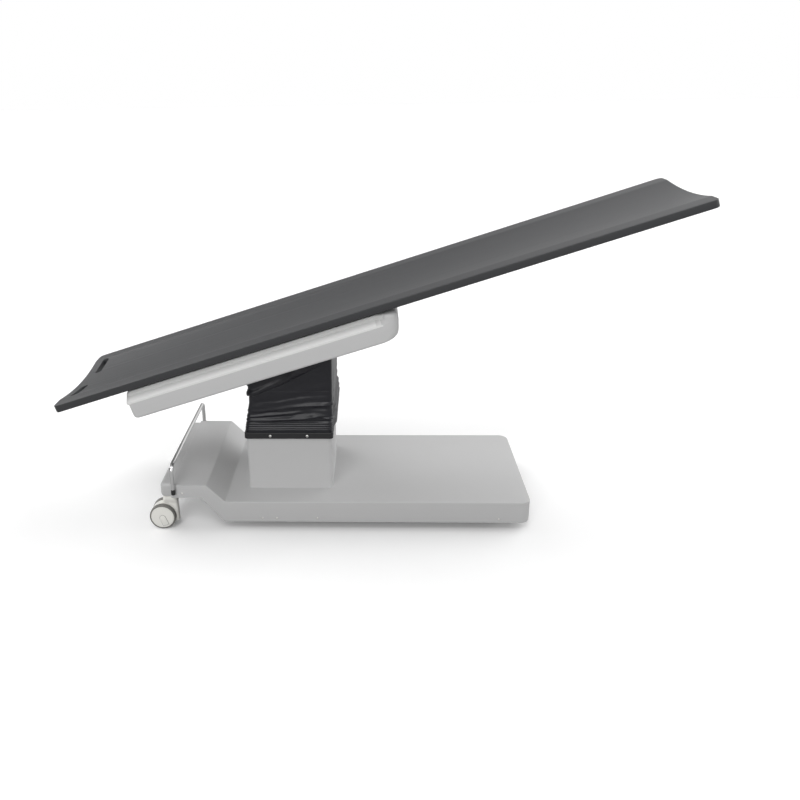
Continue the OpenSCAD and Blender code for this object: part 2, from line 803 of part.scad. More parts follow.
// Closed cloth tube: points hold the outer rings from the bottom up, then the inner rings
module cloth_tube(points, rings) {
  n = ring_count;
  inner = rings * n;
  last = inner - n;
  around = [for (j = [0 : n - 1]) [j, (j + 1) % n]];
  wall = [for (k = [0 : rings - 2], e = around) [k * n + e[0], k * n + e[1]]];
  faces = concat(
    [for (e = wall) [e[0], e[0] + n, e[1]]],
    [for (e = wall) [e[1], e[0] + n, e[1] + n]],
    [for (e = wall) [inner + e[0], inner + e[1], inner + e[0] + n]],
    [for (e = wall) [inner + e[1], inner + e[1] + n, inner + e[0] + n]],
    [for (e = around) [e[0], e[1], inner + e[0]]],
    [for (e = around) [e[1], inner + e[1], inner + e[0]]],
    [for (e = around) [last + e[0], last + inner + e[0], last + e[1]]],
    [for (e = around) [last + e[1], last + inner + e[0], last + inner + e[1]]]);
  polyhedron(points, faces);
}

module skirt_lower() {
  points = [for (layer = [0, 1], fold = low_fold_shares)
    for (p = ring_xy((fold[1] - 1) * pleat - layer * cloth)) [p[0], p[1], low_height(fold[0])]];
  color("black") at_column() cloth_tube(points, len(low_fold_shares));
}

module skirt_upper() {
  points = [for (layer = [0, 1], fold = high_fold_shares)
    for (p = ring_xy((fold[1] - 1) * pleat - layer * cloth))
      [blend(p[0], top_x(p[0]), fold[0]), p[1], blend(skirt_mid_z + frame_half, top_z(p[0]), fold[0])]];
  color("black") at_column() cloth_tube(points, len(high_fold_shares));
}

// Casters: body with stem, axle, caps and twin wheels; front is the viewer's side
wheel_z = wheel_r;
fork_top = ledge_low - socket_flange - free_gap;
hood_reach = 35;
hood_z = 36;
neck_reach = 27;
neck_back = 17;
head_r = 21;

module caster_body() {
  color("white") translate([-stem_x, -stem_y, 0]) {
    difference() {
      union() {
        translate([-trail, 0, wheel_z])
          cross_cylinder(wheel_r - 2 * free_gap, -fork_width / 2, fork_width / 2);
        side_profile([[-trail, wheel_z], [hood_reach, 0], [hood_reach, hood_z],
          [neck_reach, fork_top - over], [-neck_back, fork_top - over]], -fork_width / 2, fork_width / 2);
        translate([0, 0, 2 * wheel_r + free_gap]) cylinder(r = head_r, h = fork_top - 2 * wheel_r - free_gap);
      }
      translate([-trail, 0, wheel_z]) cross_cylinder(axle_r + seat_gap, -base_width, base_width);
      span_box(-base_width, base_width, -base_width, base_width, -base_width, wheel_r / 2);
    }
    translate([0, 0, fork_top - seat_gap]) cylinder(r = stem_r, h = stem_top - fork_top);
  }
}

module caster_axle() {
  color("gray") translate([-stem_x - trail, -stem_y, wheel_z])
    cross_cylinder(axle_r, -fork_width / 2 - free_gap - wheel_width, fork_width / 2 + free_gap + wheel_width);
}

module wheel_rim(side) {
  y0 = fork_width / 2 + free_gap;
  color("white") translate([-stem_x - trail, -stem_y, wheel_z]) mirror([0, side, 0]) difference() {
    cross_cylinder(wheel_r - tyre_thick, y0, y0 + wheel_width - cap_thick);
    cross_cylinder(axle_r + run_gap, 0, base_width);
    difference() {
      cross_cylinder(wheel_r - 2 * tyre_thick, y0 + wheel_width / 2, y0 + wheel_width);
      cross_cylinder(2 * axle_r, 0, base_width);
    }
  }
}

module wheel_tyre(side) {
  y0 = fork_width / 2 + free_gap;
  color("gray") translate([-stem_x - trail, -stem_y, wheel_z]) mirror([0, side, 0]) rotate([-90, 0, 0])
    rotate_extrude() translate([wheel_r - tyre_thick + seat_gap, y0])
      polygon([[0, 0], [tyre_thick / 2, 0], [tyre_thick - seat_gap, tyre_thick / 2],
        [tyre_thick - seat_gap, wheel_width - tyre_thick / 2], [tyre_thick / 2, wheel_width],
        [0, wheel_width]]);
}

module caster_caps() {
  y0 = fork_width / 2 + free_gap + wheel_width;
  color("white") translate([-stem_x - trail, -stem_y, wheel_z]) for (side = [0, 1]) mirror([0, side, 0]) {
    difference() {
      union() {
        cross_cylinder(wheel_r - tyre_thick - free_gap, y0 - cap_thick + slide_gap, y0 + slide_gap);
        intersection() {
          cross_cylinder(cap_r / 2, y0, y0 + cap_thick);
          span_box(-cap_r / 4, cap_r, 0, base_width, -cap_r, cap_r);
        }
      }
      cross_cylinder(axle_r + seat_gap, 0, y0);
    }
  }
}

// Rear wheels under the long end, each in a bracket that stands on the chassis
bracket_y = rear_width / 2 + free_gap + rear_cheek;
bracket_z = 2 * rear_r + wheel_gap;

module rear_bracket() {
  for (side = [0, 1]) mirror([0, side, 0]) difference() {
    union() {
      span_box(-rear_cheek_width / 2, rear_cheek_width / 2, bracket_y - rear_cheek, bracket_y, rear_r,
        bracket_z + seat_gap);
      translate([0, 0, rear_r]) cross_cylinder(rear_cheek_width / 2, bracket_y - rear_cheek, bracket_y);
    }
    translate([0, 0, rear_r]) cross_cylinder(rear_axle_r + seat_gap, 0, base_width);
  }
  span_box(-well_length / 2 - rear_leg, well_length / 2 + rear_leg, -bracket_y, bracket_y, bracket_z,
    bracket_z + rear_cheek);
  for (side = [0, 1]) mirror([side, 0, 0])
    span_box(well_length / 2, well_length / 2 + rear_leg, -bracket_y, bracket_y, floor_inside,
      bracket_z + seat_gap);
}

module at_rear(back) { at_column() mirror([0, back, 0]) translate([rear_x, -rear_y, 0]) children(); }

module rear_brackets() {
  color("dimgray") for (back = [0, 1]) at_rear(back) rear_bracket();
}

module rear_axles() {
  color("lightgray") for (back = [0, 1]) at_rear(back) translate([0, 0, rear_r])
    cross_cylinder(rear_axle_r, -bracket_y, bracket_y);
}

module rear_rim(back) {
  color("gainsboro") at_rear(back) translate([0, 0, rear_r]) difference() {
    cross_cylinder(rear_r - rear_tyre, -rear_width / 2, rear_width / 2);
    cross_cylinder(rear_axle_r + run_gap, -rear_width, rear_width);
  }
}

module rear_tyre_ring(back) {
  color("gray") at_rear(back) translate([0, 0, rear_r]) difference() {
    cross_cylinder(rear_r, -rear_width / 2, rear_width / 2);
    cross_cylinder(rear_r - rear_tyre + seat_gap, -rear_width, rear_width);
  }
}

// Brake bar: a bent tube on two sleeves that turn with the shaft through the ledge
module brake_bar() {
  straight = bar_y - bar_bend;
  foot = bar_pivot_z + brake_shaft_r + over;
  color("lightgray") at_column() translate([-bar_x, 0, 0]) {
    translate([0, 0, bar_z]) cross_cylinder(bar_r, -straight, straight);
    for (side = [0, 1]) mirror([0, side, 0]) {
      translate([0, bar_y, foot]) cylinder(r = bar_r, h = bar_z - bar_bend - foot);
      translate([0, straight, bar_z - bar_bend]) rotate([0, -90, 0]) rotate_extrude(angle = 90)
        translate([bar_bend, 0]) circle(r = bar_r);
    }
  }
}

module brake_sleeves() {
  low = bar_pivot_z - sleeve_r;
  foot = bar_pivot_z + brake_shaft_r + over;
  color("black") at_column() translate([-bar_x, 0, 0]) for (side = [0, 1]) mirror([0, side, 0])
    difference() {
      translate([0, bar_y, low]) cylinder(r = sleeve_r, h = sleeve_reach + sleeve_r);
      translate([0, bar_y, foot]) cylinder(r = bar_r + seat_gap, h = sleeve_reach + sleeve_r);
      translate([0, 0, bar_pivot_z]) cross_cylinder(brake_shaft_r + seat_gap, 0, bar_y + sleeve_r / 2);
    }
}

module brake_shaft() {
  color("gray") at_column() translate([-bar_x, 0, bar_pivot_z]) cross_cylinder(brake_shaft_r, -bar_y, bar_y);
}

module front() { at_column() children(); }
module back() { at_column() mirror([0, 1, 0]) children(); }

base_cover();
chassis();
chassis_rails();
end_beam();
caster_sockets();
column_cover();
column_outer();
outer_pads();
lift_drive();
battery_pack();
control_box();
mains_inlet();
cover_screws();
skirt_band();
band_screws();
rear_brackets();
rear_axles();
brake_bar();
brake_sleeves();
brake_shaft();
front() caster_body();  // caster_front_body
front() caster_axle();  // caster_front_axle
front() caster_caps();  // caster_front_caps
front() wheel_rim(1);  // caster_front_rim_outer
front() wheel_tyre(1);  // caster_front_tyre_outer
front() wheel_rim(0);  // caster_front_rim_inner
front() wheel_tyre(0);  // caster_front_tyre_inner
back() caster_body();  // caster_back_body
back() caster_axle();  // caster_back_axle
back() caster_caps();  // caster_back_caps
back() wheel_rim(1);  // caster_back_rim_outer
back() wheel_tyre(1);  // caster_back_tyre_outer
back() wheel_rim(0);  // caster_back_rim_inner
back() wheel_tyre(0);  // caster_back_tyre_inner
rear_rim(0);  // rear_front_rim
rear_tyre_ring(0);  // rear_front_tyre
rear_rim(1);  // rear_back_rim
rear_tyre_ring(1);  // rear_back_tyre
column_middle();
middle_pads();
column_inner();
lift_rod();
column_head();
tilt_bushes();
tilt_gearmotor();
skirt_frame();
skirt_lower();
tilt_shaft();
saddle();
deck_rails();
deck_crossbeams();
housing_lower();
housing_upper();
tabletop_pads();
tabletop();
skirt_upper();
skirt_top_frame();
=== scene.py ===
import json
import math

import bmesh
import bpy
import numpy as np
from mathutils import Matrix, Vector


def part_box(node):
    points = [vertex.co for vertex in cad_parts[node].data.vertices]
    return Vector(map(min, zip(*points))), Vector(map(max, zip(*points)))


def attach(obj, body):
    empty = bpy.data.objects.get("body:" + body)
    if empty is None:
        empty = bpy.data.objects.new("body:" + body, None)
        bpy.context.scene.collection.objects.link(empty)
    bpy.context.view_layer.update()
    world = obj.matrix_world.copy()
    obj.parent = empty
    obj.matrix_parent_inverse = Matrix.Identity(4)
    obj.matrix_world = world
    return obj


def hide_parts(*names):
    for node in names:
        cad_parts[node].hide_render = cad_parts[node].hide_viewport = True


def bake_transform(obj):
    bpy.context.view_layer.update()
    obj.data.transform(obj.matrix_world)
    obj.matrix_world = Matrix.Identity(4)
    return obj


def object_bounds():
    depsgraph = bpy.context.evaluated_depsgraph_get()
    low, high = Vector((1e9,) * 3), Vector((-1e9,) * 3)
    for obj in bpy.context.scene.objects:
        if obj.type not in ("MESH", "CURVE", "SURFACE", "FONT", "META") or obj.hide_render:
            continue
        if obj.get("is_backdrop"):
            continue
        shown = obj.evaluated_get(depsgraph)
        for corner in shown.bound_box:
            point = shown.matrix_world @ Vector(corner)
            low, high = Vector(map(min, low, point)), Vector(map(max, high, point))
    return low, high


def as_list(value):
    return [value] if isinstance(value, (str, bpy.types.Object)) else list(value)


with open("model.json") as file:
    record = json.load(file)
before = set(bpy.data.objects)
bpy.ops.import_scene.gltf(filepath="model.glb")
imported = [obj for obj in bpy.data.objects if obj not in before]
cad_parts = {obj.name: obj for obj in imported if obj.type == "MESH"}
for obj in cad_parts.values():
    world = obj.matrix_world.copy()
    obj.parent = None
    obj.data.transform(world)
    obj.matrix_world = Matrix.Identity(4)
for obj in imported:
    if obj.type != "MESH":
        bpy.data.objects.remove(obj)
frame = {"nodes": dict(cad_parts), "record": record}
cad_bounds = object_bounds()

bl_info = {
    "name": "Radiography Table",
    "version": (1, 0, 0),
    "blender": (4, 5, 0),
    "location": "3D View > Sidebar > Table",
    "description": "Builds a tilting radiography table round its CAD frame",
    "category": "Object",
}

COLOUR_A, COLOUR_B, COLOUR_OUT = 6, 7, 2  # sockets of a Mix node that mixes colours
cover_low, cover_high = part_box("column_cover")
COLUMN_X = (cover_low.x + cover_high.x) / 2


def hex_linear(text):
    """Linear red, green, blue and alpha of an sRGB hex colour"""
    shares = [int(text[k : k + 2], 16) / 255 for k in (1, 3, 5)]
    return tuple(c / 12.92 if c <= 0.04045 else ((c + 0.055) / 1.055) ** 2.4 for c in shares) + (1.0,)


def length(name, description, default):
    return bpy.props.FloatProperty(
        name=name, description=description, default=default, unit="LENGTH", precision=4
    )


def colour(name, description, default):
    return bpy.props.FloatVectorProperty(
        name=name, description=description, default=hex_linear(default), size=4, subtype="COLOR", min=0, max=1
    )


class TableTopSizes(bpy.types.PropertyGroup):
    low_length: length("Low end", "Tabletop from the pivot to its low end", 0.825)
    high_length: length("High end", "Tabletop from the pivot to its high end", 1.475)
    width: length("Width", "Width of the tabletop", 0.55)
    rim: length("Rim", "Thickness of the flat rims", 0.026)
    dish_depth: length("Dish depth", "Depth of the dish below the rims", 0.015)
    dish_radius: length("Dish radius", "Radius of the dish across the width", 1.425)
    panel: length("Panel", "Thickness of the panel in the middle", 0.024)
    corner: length("Corner", "Rounding of the corners seen from above", 0.02)
    edge: length("Edge", "Rounding of the long edges", 0.0025)
    slot_length: length("Slot length", "Length of a hand slot", 0.13)
    slot_width: length("Slot width", "Width of a hand slot", 0.026)
    slot_inset: length("Slot inset", "Hand slots from the low end", 0.05)
    slot_offset: length("Slot offset", "Hand slots from the centre line", 0.135)


class DeckSizes(bpy.types.PropertyGroup):
    tilt: bpy.props.FloatProperty(
        name="Tilt", description="Tilt of the table at rest", default=math.radians(17.6), subtype="ANGLE"
    )
    pivot_height: length("Pivot height", "Tilt shaft over the floor", 0.637)
    rise: length("Rise", "Rim underside over the tilt shaft", 0.07)
    low_length: length("Low end", "Housing from the pivot to its low end", 0.566)
    high_length: length("High end", "Housing from the pivot to its high end", 0.415)
    width: length("Width", "Width of the lower shell", 0.524)
    inset: length("Inset", "Inset of the upper shell on each side", 0.025)
    top: length("Top", "Top of the housing below the rim underside", 0.015)
    seam: length("Seam", "Seam of the shells below the rim underside", 0.05)
    shoulder: length("Shoulder", "Drop of the sloping shoulder", 0.017)
    bottom: length("Bottom", "Underside of the housing below the rim underside", 0.1045)
    wall: length("Wall", "Thickness of the shells", 0.004)
    corner: length("Corner", "Rounding of the corners seen from above", 0.028)
    fade: length("Fade", "Length over which the shoulder fades out before the high end", 0.045)
    low_corner: length("Low corner", "Rounding of the low end's corners seen from above", 0.01)
    mouth_x: length("Mouth length", "Opening for the column along the table", 0.27)
    mouth_y: length("Mouth width", "Opening for the column across the table", 0.24)
    edge: length("Edge", "Rounding of the shells' edges", 0.004)


class BaseSizes(bpy.types.PropertyGroup):
    long_end: length("Long end", "Platform from the column to its end", 0.866)
    slope_foot: length("Slope foot", "Column to the foot of the slope", 0.228)
    slope_top: length("Slope top", "Column to the top of the slope", 0.292)
    ledge_end: length("Ledge end", "Column to the end of the ledge", 0.423)
    under_foot: length("Under foot", "Column to the foot of the underside slope", 0.235)
    under_top: length("Under top", "Column to the top of the underside slope", 0.314)
    width: length("Width", "Width of the base", 0.579)
    underside: length("Underside", "Underside over the floor", 0.036)
    platform: length("Platform", "Platform's top over the floor", 0.116)
    ledge: length("Ledge", "Ledge's top over the floor", 0.181)
    ledge_under: length("Ledge underside", "Ledge's underside over the floor", 0.131)
    wall: length("Wall", "Thickness of the cover", 0.004)
    column_hole: length("Column hole", "Side of the square hole under the column cover", 0.23)
    corner: length("Corner", "Rounding of the platform's corners", 0.036)
    edge: length("Edge", "Rounding of the folded edges", 0.003)
    beam: length("Beam", "Width of the end beam", 0.041)
    beam_length: length("Beam length", "Length of the end beam", 0.556)
    beam_corner: length("Beam corner", "Rounding of the end beam's corners", 0.018)
    beam_crown: length("Beam crown", "Rounding of the end beam's edges", 0.01)


class ColumnSizes(bpy.types.PropertyGroup):
    cover_x: length("Cover length", "Column cover along the table", 0.311)
    cover_y: length("Cover width", "Column cover across the table", 0.364)
    cover_top: length("Cover top", "Column cover's top over the floor", 0.332)
    wall: length("Wall", "Thickness of the column cover", 0.003)
    corner: length("Corner", "Rounding of the column cover's corners", 0.014)
    band_corner: length("Band corner", "Bend of the skirt's band at the corners", 0.009)
    foot: length("Foot", "Fillet at the foot of the cover", 0.0025)
    band_low: length("Band low", "Lower edge of the skirt's band over the floor", 0.3175)
    band_high: length("Band high", "Upper edge of the skirt's band over the floor", 0.3405)
    band: length("Band", "Thickness of the skirt's band", 0.0055)
    band_screw_x: length("Band screws", "Band screws from the middle", 0.067)
    band_screw: length("Band screw head", "Radius of a band screw's head", 0.005)


class SkirtSizes(bpy.types.PropertyGroup):
    low: length("Low", "Lower edge of the skirt over the floor", 0.3325)
    middle: length("Middle", "Carrying frame over the floor", 0.5)
    deck_drop: length("Deck drop", "Skirt's top below the tilt shaft, square to the deck", 0.0348)
    half_y: length("Half width", "Half of the skirt's width across the table", 0.1825)
    corner: length("Corner", "Rounding of the skirt's corners", 0.014)
    cloth: length("Cloth", "Thickness of the cloth", 0.0012)
    column_step: length("Step round", "Spacing of the cloth's points round the column", 0.005)
    row_step: length("Step up", "Spacing of the cloth's points in height", 0.0013)


class CasterSizes(bpy.types.PropertyGroup):
    stem_x: length("Stem distance", "Stem from the column", 0.443)
    stem_y: length("Stem offset", "Stem from the centre line", 0.249)
    trail: length("Trail", "Axle from the stem", 0.02)
    wheel: length("Wheel radius", "Radius of a caster wheel", 0.0475)
    wheel_width: length("Wheel width", "Width of a caster wheel", 0.02)
    fork: length("Fork", "Width of the body between the wheels", 0.028)
    gap: length("Gap", "Gap between a wheel and the body", 0.001)
    tyre: length("Tyre", "Thickness of a tyre", 0.005)
    hood_x: length("Hood reach", "Body's reach away from the axle", 0.0365)
    hood_z: length("Hood height", "Height of the hood's lower corner", 0.036)
    hood_low: length("Hood low", "Lower edge of the body over the floor", 0.02375)
    neck_front: length("Neck front", "Neck's reach away from the axle", 0.0345)
    neck_back: length("Neck back", "Neck's reach towards the axle", 0.017)
    neck_top: length("Neck top", "Top of the neck over the floor", 0.122)
    head: length("Head", "Radius of the swivel head", 0.021)
    head_top: length("Head top", "Top of the swivel head over the floor", 0.127)
    stem: length("Stem", "Radius of the stem", 0.008)
    stem_top: length("Stem top", "Top of the stem over the floor", 0.163)
    rear_x: length("Rear distance", "Rear wheels from the column", 0.76)
    rear_y: length("Rear offset", "Rear wheels from the centre line", 0.215)
    rear: length("Rear radius", "Radius of a rear wheel", 0.04)
    rear_width: length("Rear width", "Width of a rear wheel", 0.028)
    rear_tyre: length("Rear tyre", "Thickness of a rear tyre", 0.008)


class BarSizes(bpy.types.PropertyGroup):
    x: length("Distance", "Brake bar from the column", 0.411)
    y: length("Half width", "Brake bar's legs from the centre line", 0.298)
    z: length("Height", "Brake bar's axis over the floor", 0.259)
    pivot: length("Pivot", "Brake bar's pivot over the floor", 0.156)
    radius: length("Radius", "Radius of the tube", 0.0072)
    bend: length("Bend", "Radius of the two bends", 0.022)
    sleeve: length("Sleeve", "Radius of a sleeve", 0.0076)
    sleeve_reach: length("Sleeve reach", "Sleeve's top over the pivot", 0.014)


class TableColours(bpy.types.PropertyGroup):
    laminate: colour("Laminate", "Tabletop", "#313234")
    # painted light: the lid's tint is paler than the shell's, so that the sides read brighter in the
    # tabletop's shade
    lid: colour("Lid", "Upper deck shell", "#e4e4e3")
    shell: colour("Shell", "Deck housing", "#c9c9c9")
    cover: colour("Cover", "Base, beam and column cover", "#bfbfbf")
    cloth: colour("Cloth", "Skirt", "#1f1f24")
    band: colour("Band", "Skirt's band", "#161618")
    nylon: colour("Nylon", "Caster bodies and wheels", "#f1f0ea")
    tyre: colour("Tyre", "Caster tyres", "#7c7b77")
    floor: colour("Floor", "Studio floor", "#f9f9f9")


def size_groups():
    """Name on the scene and class of each group of values"""
    return {
        "table_top": TableTopSizes,
        "table_deck": DeckSizes,
        "table_base": BaseSizes,
        "table_column": ColumnSizes,
        "table_skirt": SkirtSizes,
        "table_casters": CasterSizes,
        "table_bar": BarSizes,
        "table_colours": TableColours,
    }


# Meshes


def loft(rings, closed=True, cap_first=True, cap_last=True):
    """Quads between successive rings of points, with a face over each capped end"""
    count = len(rings[0])
    points = [p for ring in rings for p in ring]
    faces = []
    for k in range(len(rings) - 1):
        for i in range(count if closed else count - 1):
            a, b = k * count + i, k * count + (i + 1) % count
            faces.append((a, b, b + count, a + count))
    if cap_first:
        faces.append(tuple(reversed(range(count))))
    if cap_last:
        faces.append(tuple(range(len(points) - count, len(points))))
    return points, faces


def joined(*parts):
    """Several sets of points and faces as one"""
    points, faces = [], []
    for more_points, more_faces in parts:
        start = len(points)
        points += list(more_points)
        faces += [tuple(start + i for i in face) for face in more_faces]
    return points, faces


def rounded_outline(low_x, high_x, low_y, high_y, radius, steps=8):
    """Rectangle with rounded corners, anticlockwise from its lower right corner"""
    outline = []
    middles = [(high_x - radius, low_y + radius), (high_x - radius, high_y - radius),
               (low_x + radius, high_y - radius), (low_x + radius, low_y + radius)]
    for corner, (x, y) in enumerate(middles):
        for k in range(steps + 1):
            angle = math.radians(90 * (corner - 1 + k / steps))
            outline.append((x + radius * math.cos(angle), y + radius * math.sin(angle)))
    return outline


def arc(centre, radius, start, end, steps):
    """Points on an arc, with its angles in degrees"""
    angles = [math.radians(start + (end - start) * k / steps) for k in range(steps + 1)]
    return [(centre[0] + radius * math.cos(a), centre[1] + radius * math.sin(a)) for a in angles]


def quarter_turns(steps):
    """Angles from nothing to a right angle"""
    return [math.radians(90 * k / steps) for k in range(steps + 1)]


def turned(profile, centre, side=1, steps=72, ring=False):
    """Profile of radius and distance turned about a line along Y; a ring profile closes on itself"""
    rings = []
    for radius, along in profile:
        angles = [2 * math.pi * k / steps for k in range(steps)]
        rings.append([
            (centre[0] + radius * math.cos(a), centre[1] + side * along, centre[2] + radius * math.sin(a))
            for a in angles
        ])
    if ring:
        return loft(rings + [rings[0]], cap_first=False, cap_last=False)
    return loft(rings)


def upright(profile, centre, steps=48):
    """Profile of radius and height turned about an upright line"""
    angles = [2 * math.pi * k / steps for k in range(steps)]
    return loft([
        [(centre[0] + r * math.cos(a), centre[1] + r * math.sin(a), z) for a in angles] for r, z in profile
    ])


def tube(path, radius, steps=24):
    """Round tube along a path in one plane square to X"""
    rings = []
    for k, point in enumerate(path):
        before, after = path[max(k - 1, 0)], path[min(k + 1, len(path) - 1)]
        along = (Vector(after) - Vector(before)).normalized()
        across = Vector((1, 0, 0))
        up = along.cross(across)
        rings.append([
            tuple(Vector(point) + radius * (math.cos(a) * across + math.sin(a) * up))
            for a in (2 * math.pi * i / steps for i in range(steps))
        ])
    return loft(rings)


def make_mesh(name, points, faces, outward=True):
    mesh = bpy.data.meshes.new(name)
    mesh.from_pydata([tuple(p) for p in points], [], faces)
    shape = bmesh.new()
    shape.from_mesh(mesh)
    bmesh.ops.remove_doubles(shape, verts=shape.verts, dist=1e-6)
    if outward:
        bmesh.ops.recalc_face_normals(shape, faces=shape.faces)
    shape.to_mesh(mesh)
    shape.free()
    mesh.shade_smooth()
    return mesh


def make_piece(name, points, faces, outward=True):
    piece = bpy.data.objects.new(name, make_mesh(name, points, faces, outward))
    bpy.context.scene.collection.objects.link(piece)
    return piece


def change(piece, kind, **settings):
    """Adds one modifier with its settings"""
    modifier = piece.modifiers.new(kind.title(), kind)
    for key, value in settings.items():
        setattr(modifier, key, value)


def settle(piece):
    """Applies the modifiers, so that the mesh is final"""
    graph = bpy.context.evaluated_depsgraph_get()
    graph.update()
    mesh = bpy.data.meshes.new_from_object(
        piece.evaluated_get(graph), preserve_all_data_layers=True, depsgraph=graph
    )
    piece.modifiers.clear()
    piece.data = mesh


def crisp(piece, angle=35):
    """Settles the piece and keeps its edges sharp where they turn by more than the angle"""
    settle(piece)
    piece.data.shade_smooth()
    piece.data.set_sharp_from_angle(angle=math.radians(angle))


def round_edges(piece, width, segments=3, angle=30):
    """Rounds every edge sharper than the angle"""
    change(piece, "BEVEL", width=width, segments=segments, limit_method="ANGLE",
           angle_limit=math.radians(angle))
    crisp(piece)


def filleted(points, radius, steps=5):
    """Open outline with its inner corners rounded"""
    outline = [points[0]]
    for before, here, after in zip(points, points[1:], points[2:]):
        a, b = (Vector(before) - Vector(here)), (Vector(after) - Vector(here))
        half_turn = (math.pi - a.angle(b)) / 2
        reach = min(radius * math.tan(half_turn), a.length * 0.45, b.length * 0.45)
        a, b = a.normalized() * reach, b.normalized() * reach
        for k in range(steps + 1):
            t = k / steps
            outline.append(tuple(Vector(here) + a * (1 - t) ** 2 + b * t**2))
    outline.append(points[-1])
    return outline


def lidded(half, mirror, top, low, edge, closed=True, steps=5):
    """Body over a plan outline, its top and bottom given as heights and its edges rounded. The half
    outline holds places, outward directions and the share of the rounding there, and the mirror gives
    each place's partner."""
    shares = [point[4] if len(point) > 4 else 1 for point in half]
    shares += shares[::-1]

    def loop(inset, height):
        side = [(x - inset * w * a, y - inset * w * b) for (x, y, a, b, *_), w in zip(half, shares)]
        side += [mirror(x, y) for x, y in reversed(side)]
        return [(x, y, height(x, y, w)) for (x, y), w in zip(side, shares)]

    turns = quarter_turns(steps)
    rings = []
    if closed:
        rings += [loop(edge * (1 - math.sin(a)),
                       lambda x, y, w, a=a: low(x, y) + w * edge * (1 - math.cos(a)))
                  for a in turns]
    else:
        rings.append(loop(0, lambda x, y, w: low(x, y)))
    rings += [loop(edge * (1 - math.cos(a)), lambda x, y, w, a=a: top(x, y) - w * edge * (1 - math.sin(a)))
              for a in turns]
    points, faces = loft(rings, cap_first=False, cap_last=False)
    count = len(rings[0])
    for start, turn in ((0, -1), (len(points) - count, 1)) if closed else ((len(points) - count, 1),):
        for k in range(len(half) - 1):
            face = (start + k, start + k + 1, start + count - 2 - k, start + count - 1 - k)
            faces.append(face[::turn])
    return points, faces


def cut(piece, points, faces):
    """Cuts a closed shape out of the piece, after the modifiers that it has"""
    cutter = make_piece("cutter", points, faces)
    change(piece, "BOOLEAN", object=cutter, operation="DIFFERENCE", solver="EXACT")
    settle(piece)
    mesh = cutter.data
    bpy.data.objects.remove(cutter)
    bpy.data.meshes.remove(mesh)


def box_shape(low, high):
    outline = [(low[0], low[1]), (high[0], low[1]), (high[0], high[1]), (low[0], high[1])]
    return loft([[(x, y, z) for x, y in outline] for z in (low[2], high[2])])


def place(piece, body, slot, *nodes, look=None):
    """Gives a piece the finish of its slot or its look, hides the CAD nodes that it stands for, and hangs it
    on the body it rides on
    """
    chosen = material(look or slot)
    if piece.data.materials:
        piece.data.materials[0] = chosen
    else:
        piece.data.materials.append(chosen)
    if nodes:
        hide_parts(*nodes)
    if body:
        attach(piece, body)


def plain_piece(name, shape, body, slot, *nodes, look=None):
    """Makes, settles and places a piece that takes no modifier"""
    piece = make_piece(name, *shape)
    crisp(piece)
    place(piece, body, slot, *nodes, look=look)


def on_deck(sizes, along, across, over):
    """Point given along the table from the pivot, across it, and over the rim's underside"""
    c, s = math.cos(sizes.tilt), math.sin(sizes.tilt)
    rise = sizes.rise + over
    return (COLUMN_X + along * c - rise * s, across, sizes.pivot_height + along * s + rise * c)


def column_ring(column, grow, height, corner):
    """Outline of the column cover, grown on all sides, at a height"""
    x, y = column.cover_x / 2 + grow, column.cover_y / 2 + grow
    return [(COLUMN_X + a, b, height) for a, b in rounded_outline(-x, x, -y, y, corner)]


# Materials


def add_node(tree, kind, settings=None, links=None):
    """One node with its settings and its links. A setting is a value of the node's own or, where its key is
    a number or names nothing else, a socket's."""
    node = tree.nodes.new(kind)
    for key, value in (settings or {}).items():
        if isinstance(key, str) and hasattr(node, key):
            setattr(node, key, value)
        else:
            node.inputs[key].default_value = value
    for key, output in (links or {}).items():
        tree.links.new(output, node.inputs[key])
    return node


def finish(name, tint, vary=0.04, grain=2.0, bump=0.02, rough=(0.4, 0.5), blotch=60.0, stretch=(1, 1, 1),
           **shader):
    """Material from a tint that varies a little over blotches, with a grain that moves its gloss and its
    relief. Grain, blotch and bump are in millimetres."""
    material = bpy.data.materials.new(name)
    material.use_nodes = True
    tree = material.node_tree
    tree.nodes.clear()
    here = add_node(tree, "ShaderNodeTexCoord").outputs["Object"]
    mapped = add_node(tree, "ShaderNodeMapping", {"Scale": stretch}, {"Vector": here}).outputs["Vector"]
    blotches = add_node(tree, "ShaderNodeTexNoise", {"Scale": 1000 / blotch, "Detail": 3.0, "Roughness": 0.5},
                        {"Vector": mapped}).outputs["Fac"]
    grains = add_node(tree, "ShaderNodeTexNoise", {"Scale": 1000 / grain, "Detail": 2.0, "Roughness": 0.6},
                      {"Vector": mapped}).outputs["Fac"]
    dark, light = (tuple(min(1, c * share) for c in tint[:3]) + (1,) for share in (1 - vary, 1 + vary))
    mixed = add_node(tree, "ShaderNodeMix", {"data_type": "RGBA", COLOUR_A: dark, COLOUR_B: light},
                     {"Factor": blotches})
    roughness = add_node(
        tree, "ShaderNodeMapRange",
        {"From Min": 0.3, "From Max": 0.7, "To Min": rough[0], "To Max": rough[1]}, {"Value": grains})
    relief = add_node(tree, "ShaderNodeBump", {"Strength": 1.0, "Distance": bump / 1000}, {"Height": grains})
    surface = add_node(tree, "ShaderNodeBsdfPrincipled", shader, {
        "Base Color": mixed.outputs[COLOUR_OUT], "Roughness": roughness.outputs["Result"],
        "Normal": relief.outputs["Normal"]})
    add_node(tree, "ShaderNodeOutputMaterial", links={"Surface": surface.outputs["BSDF"]})
    return material


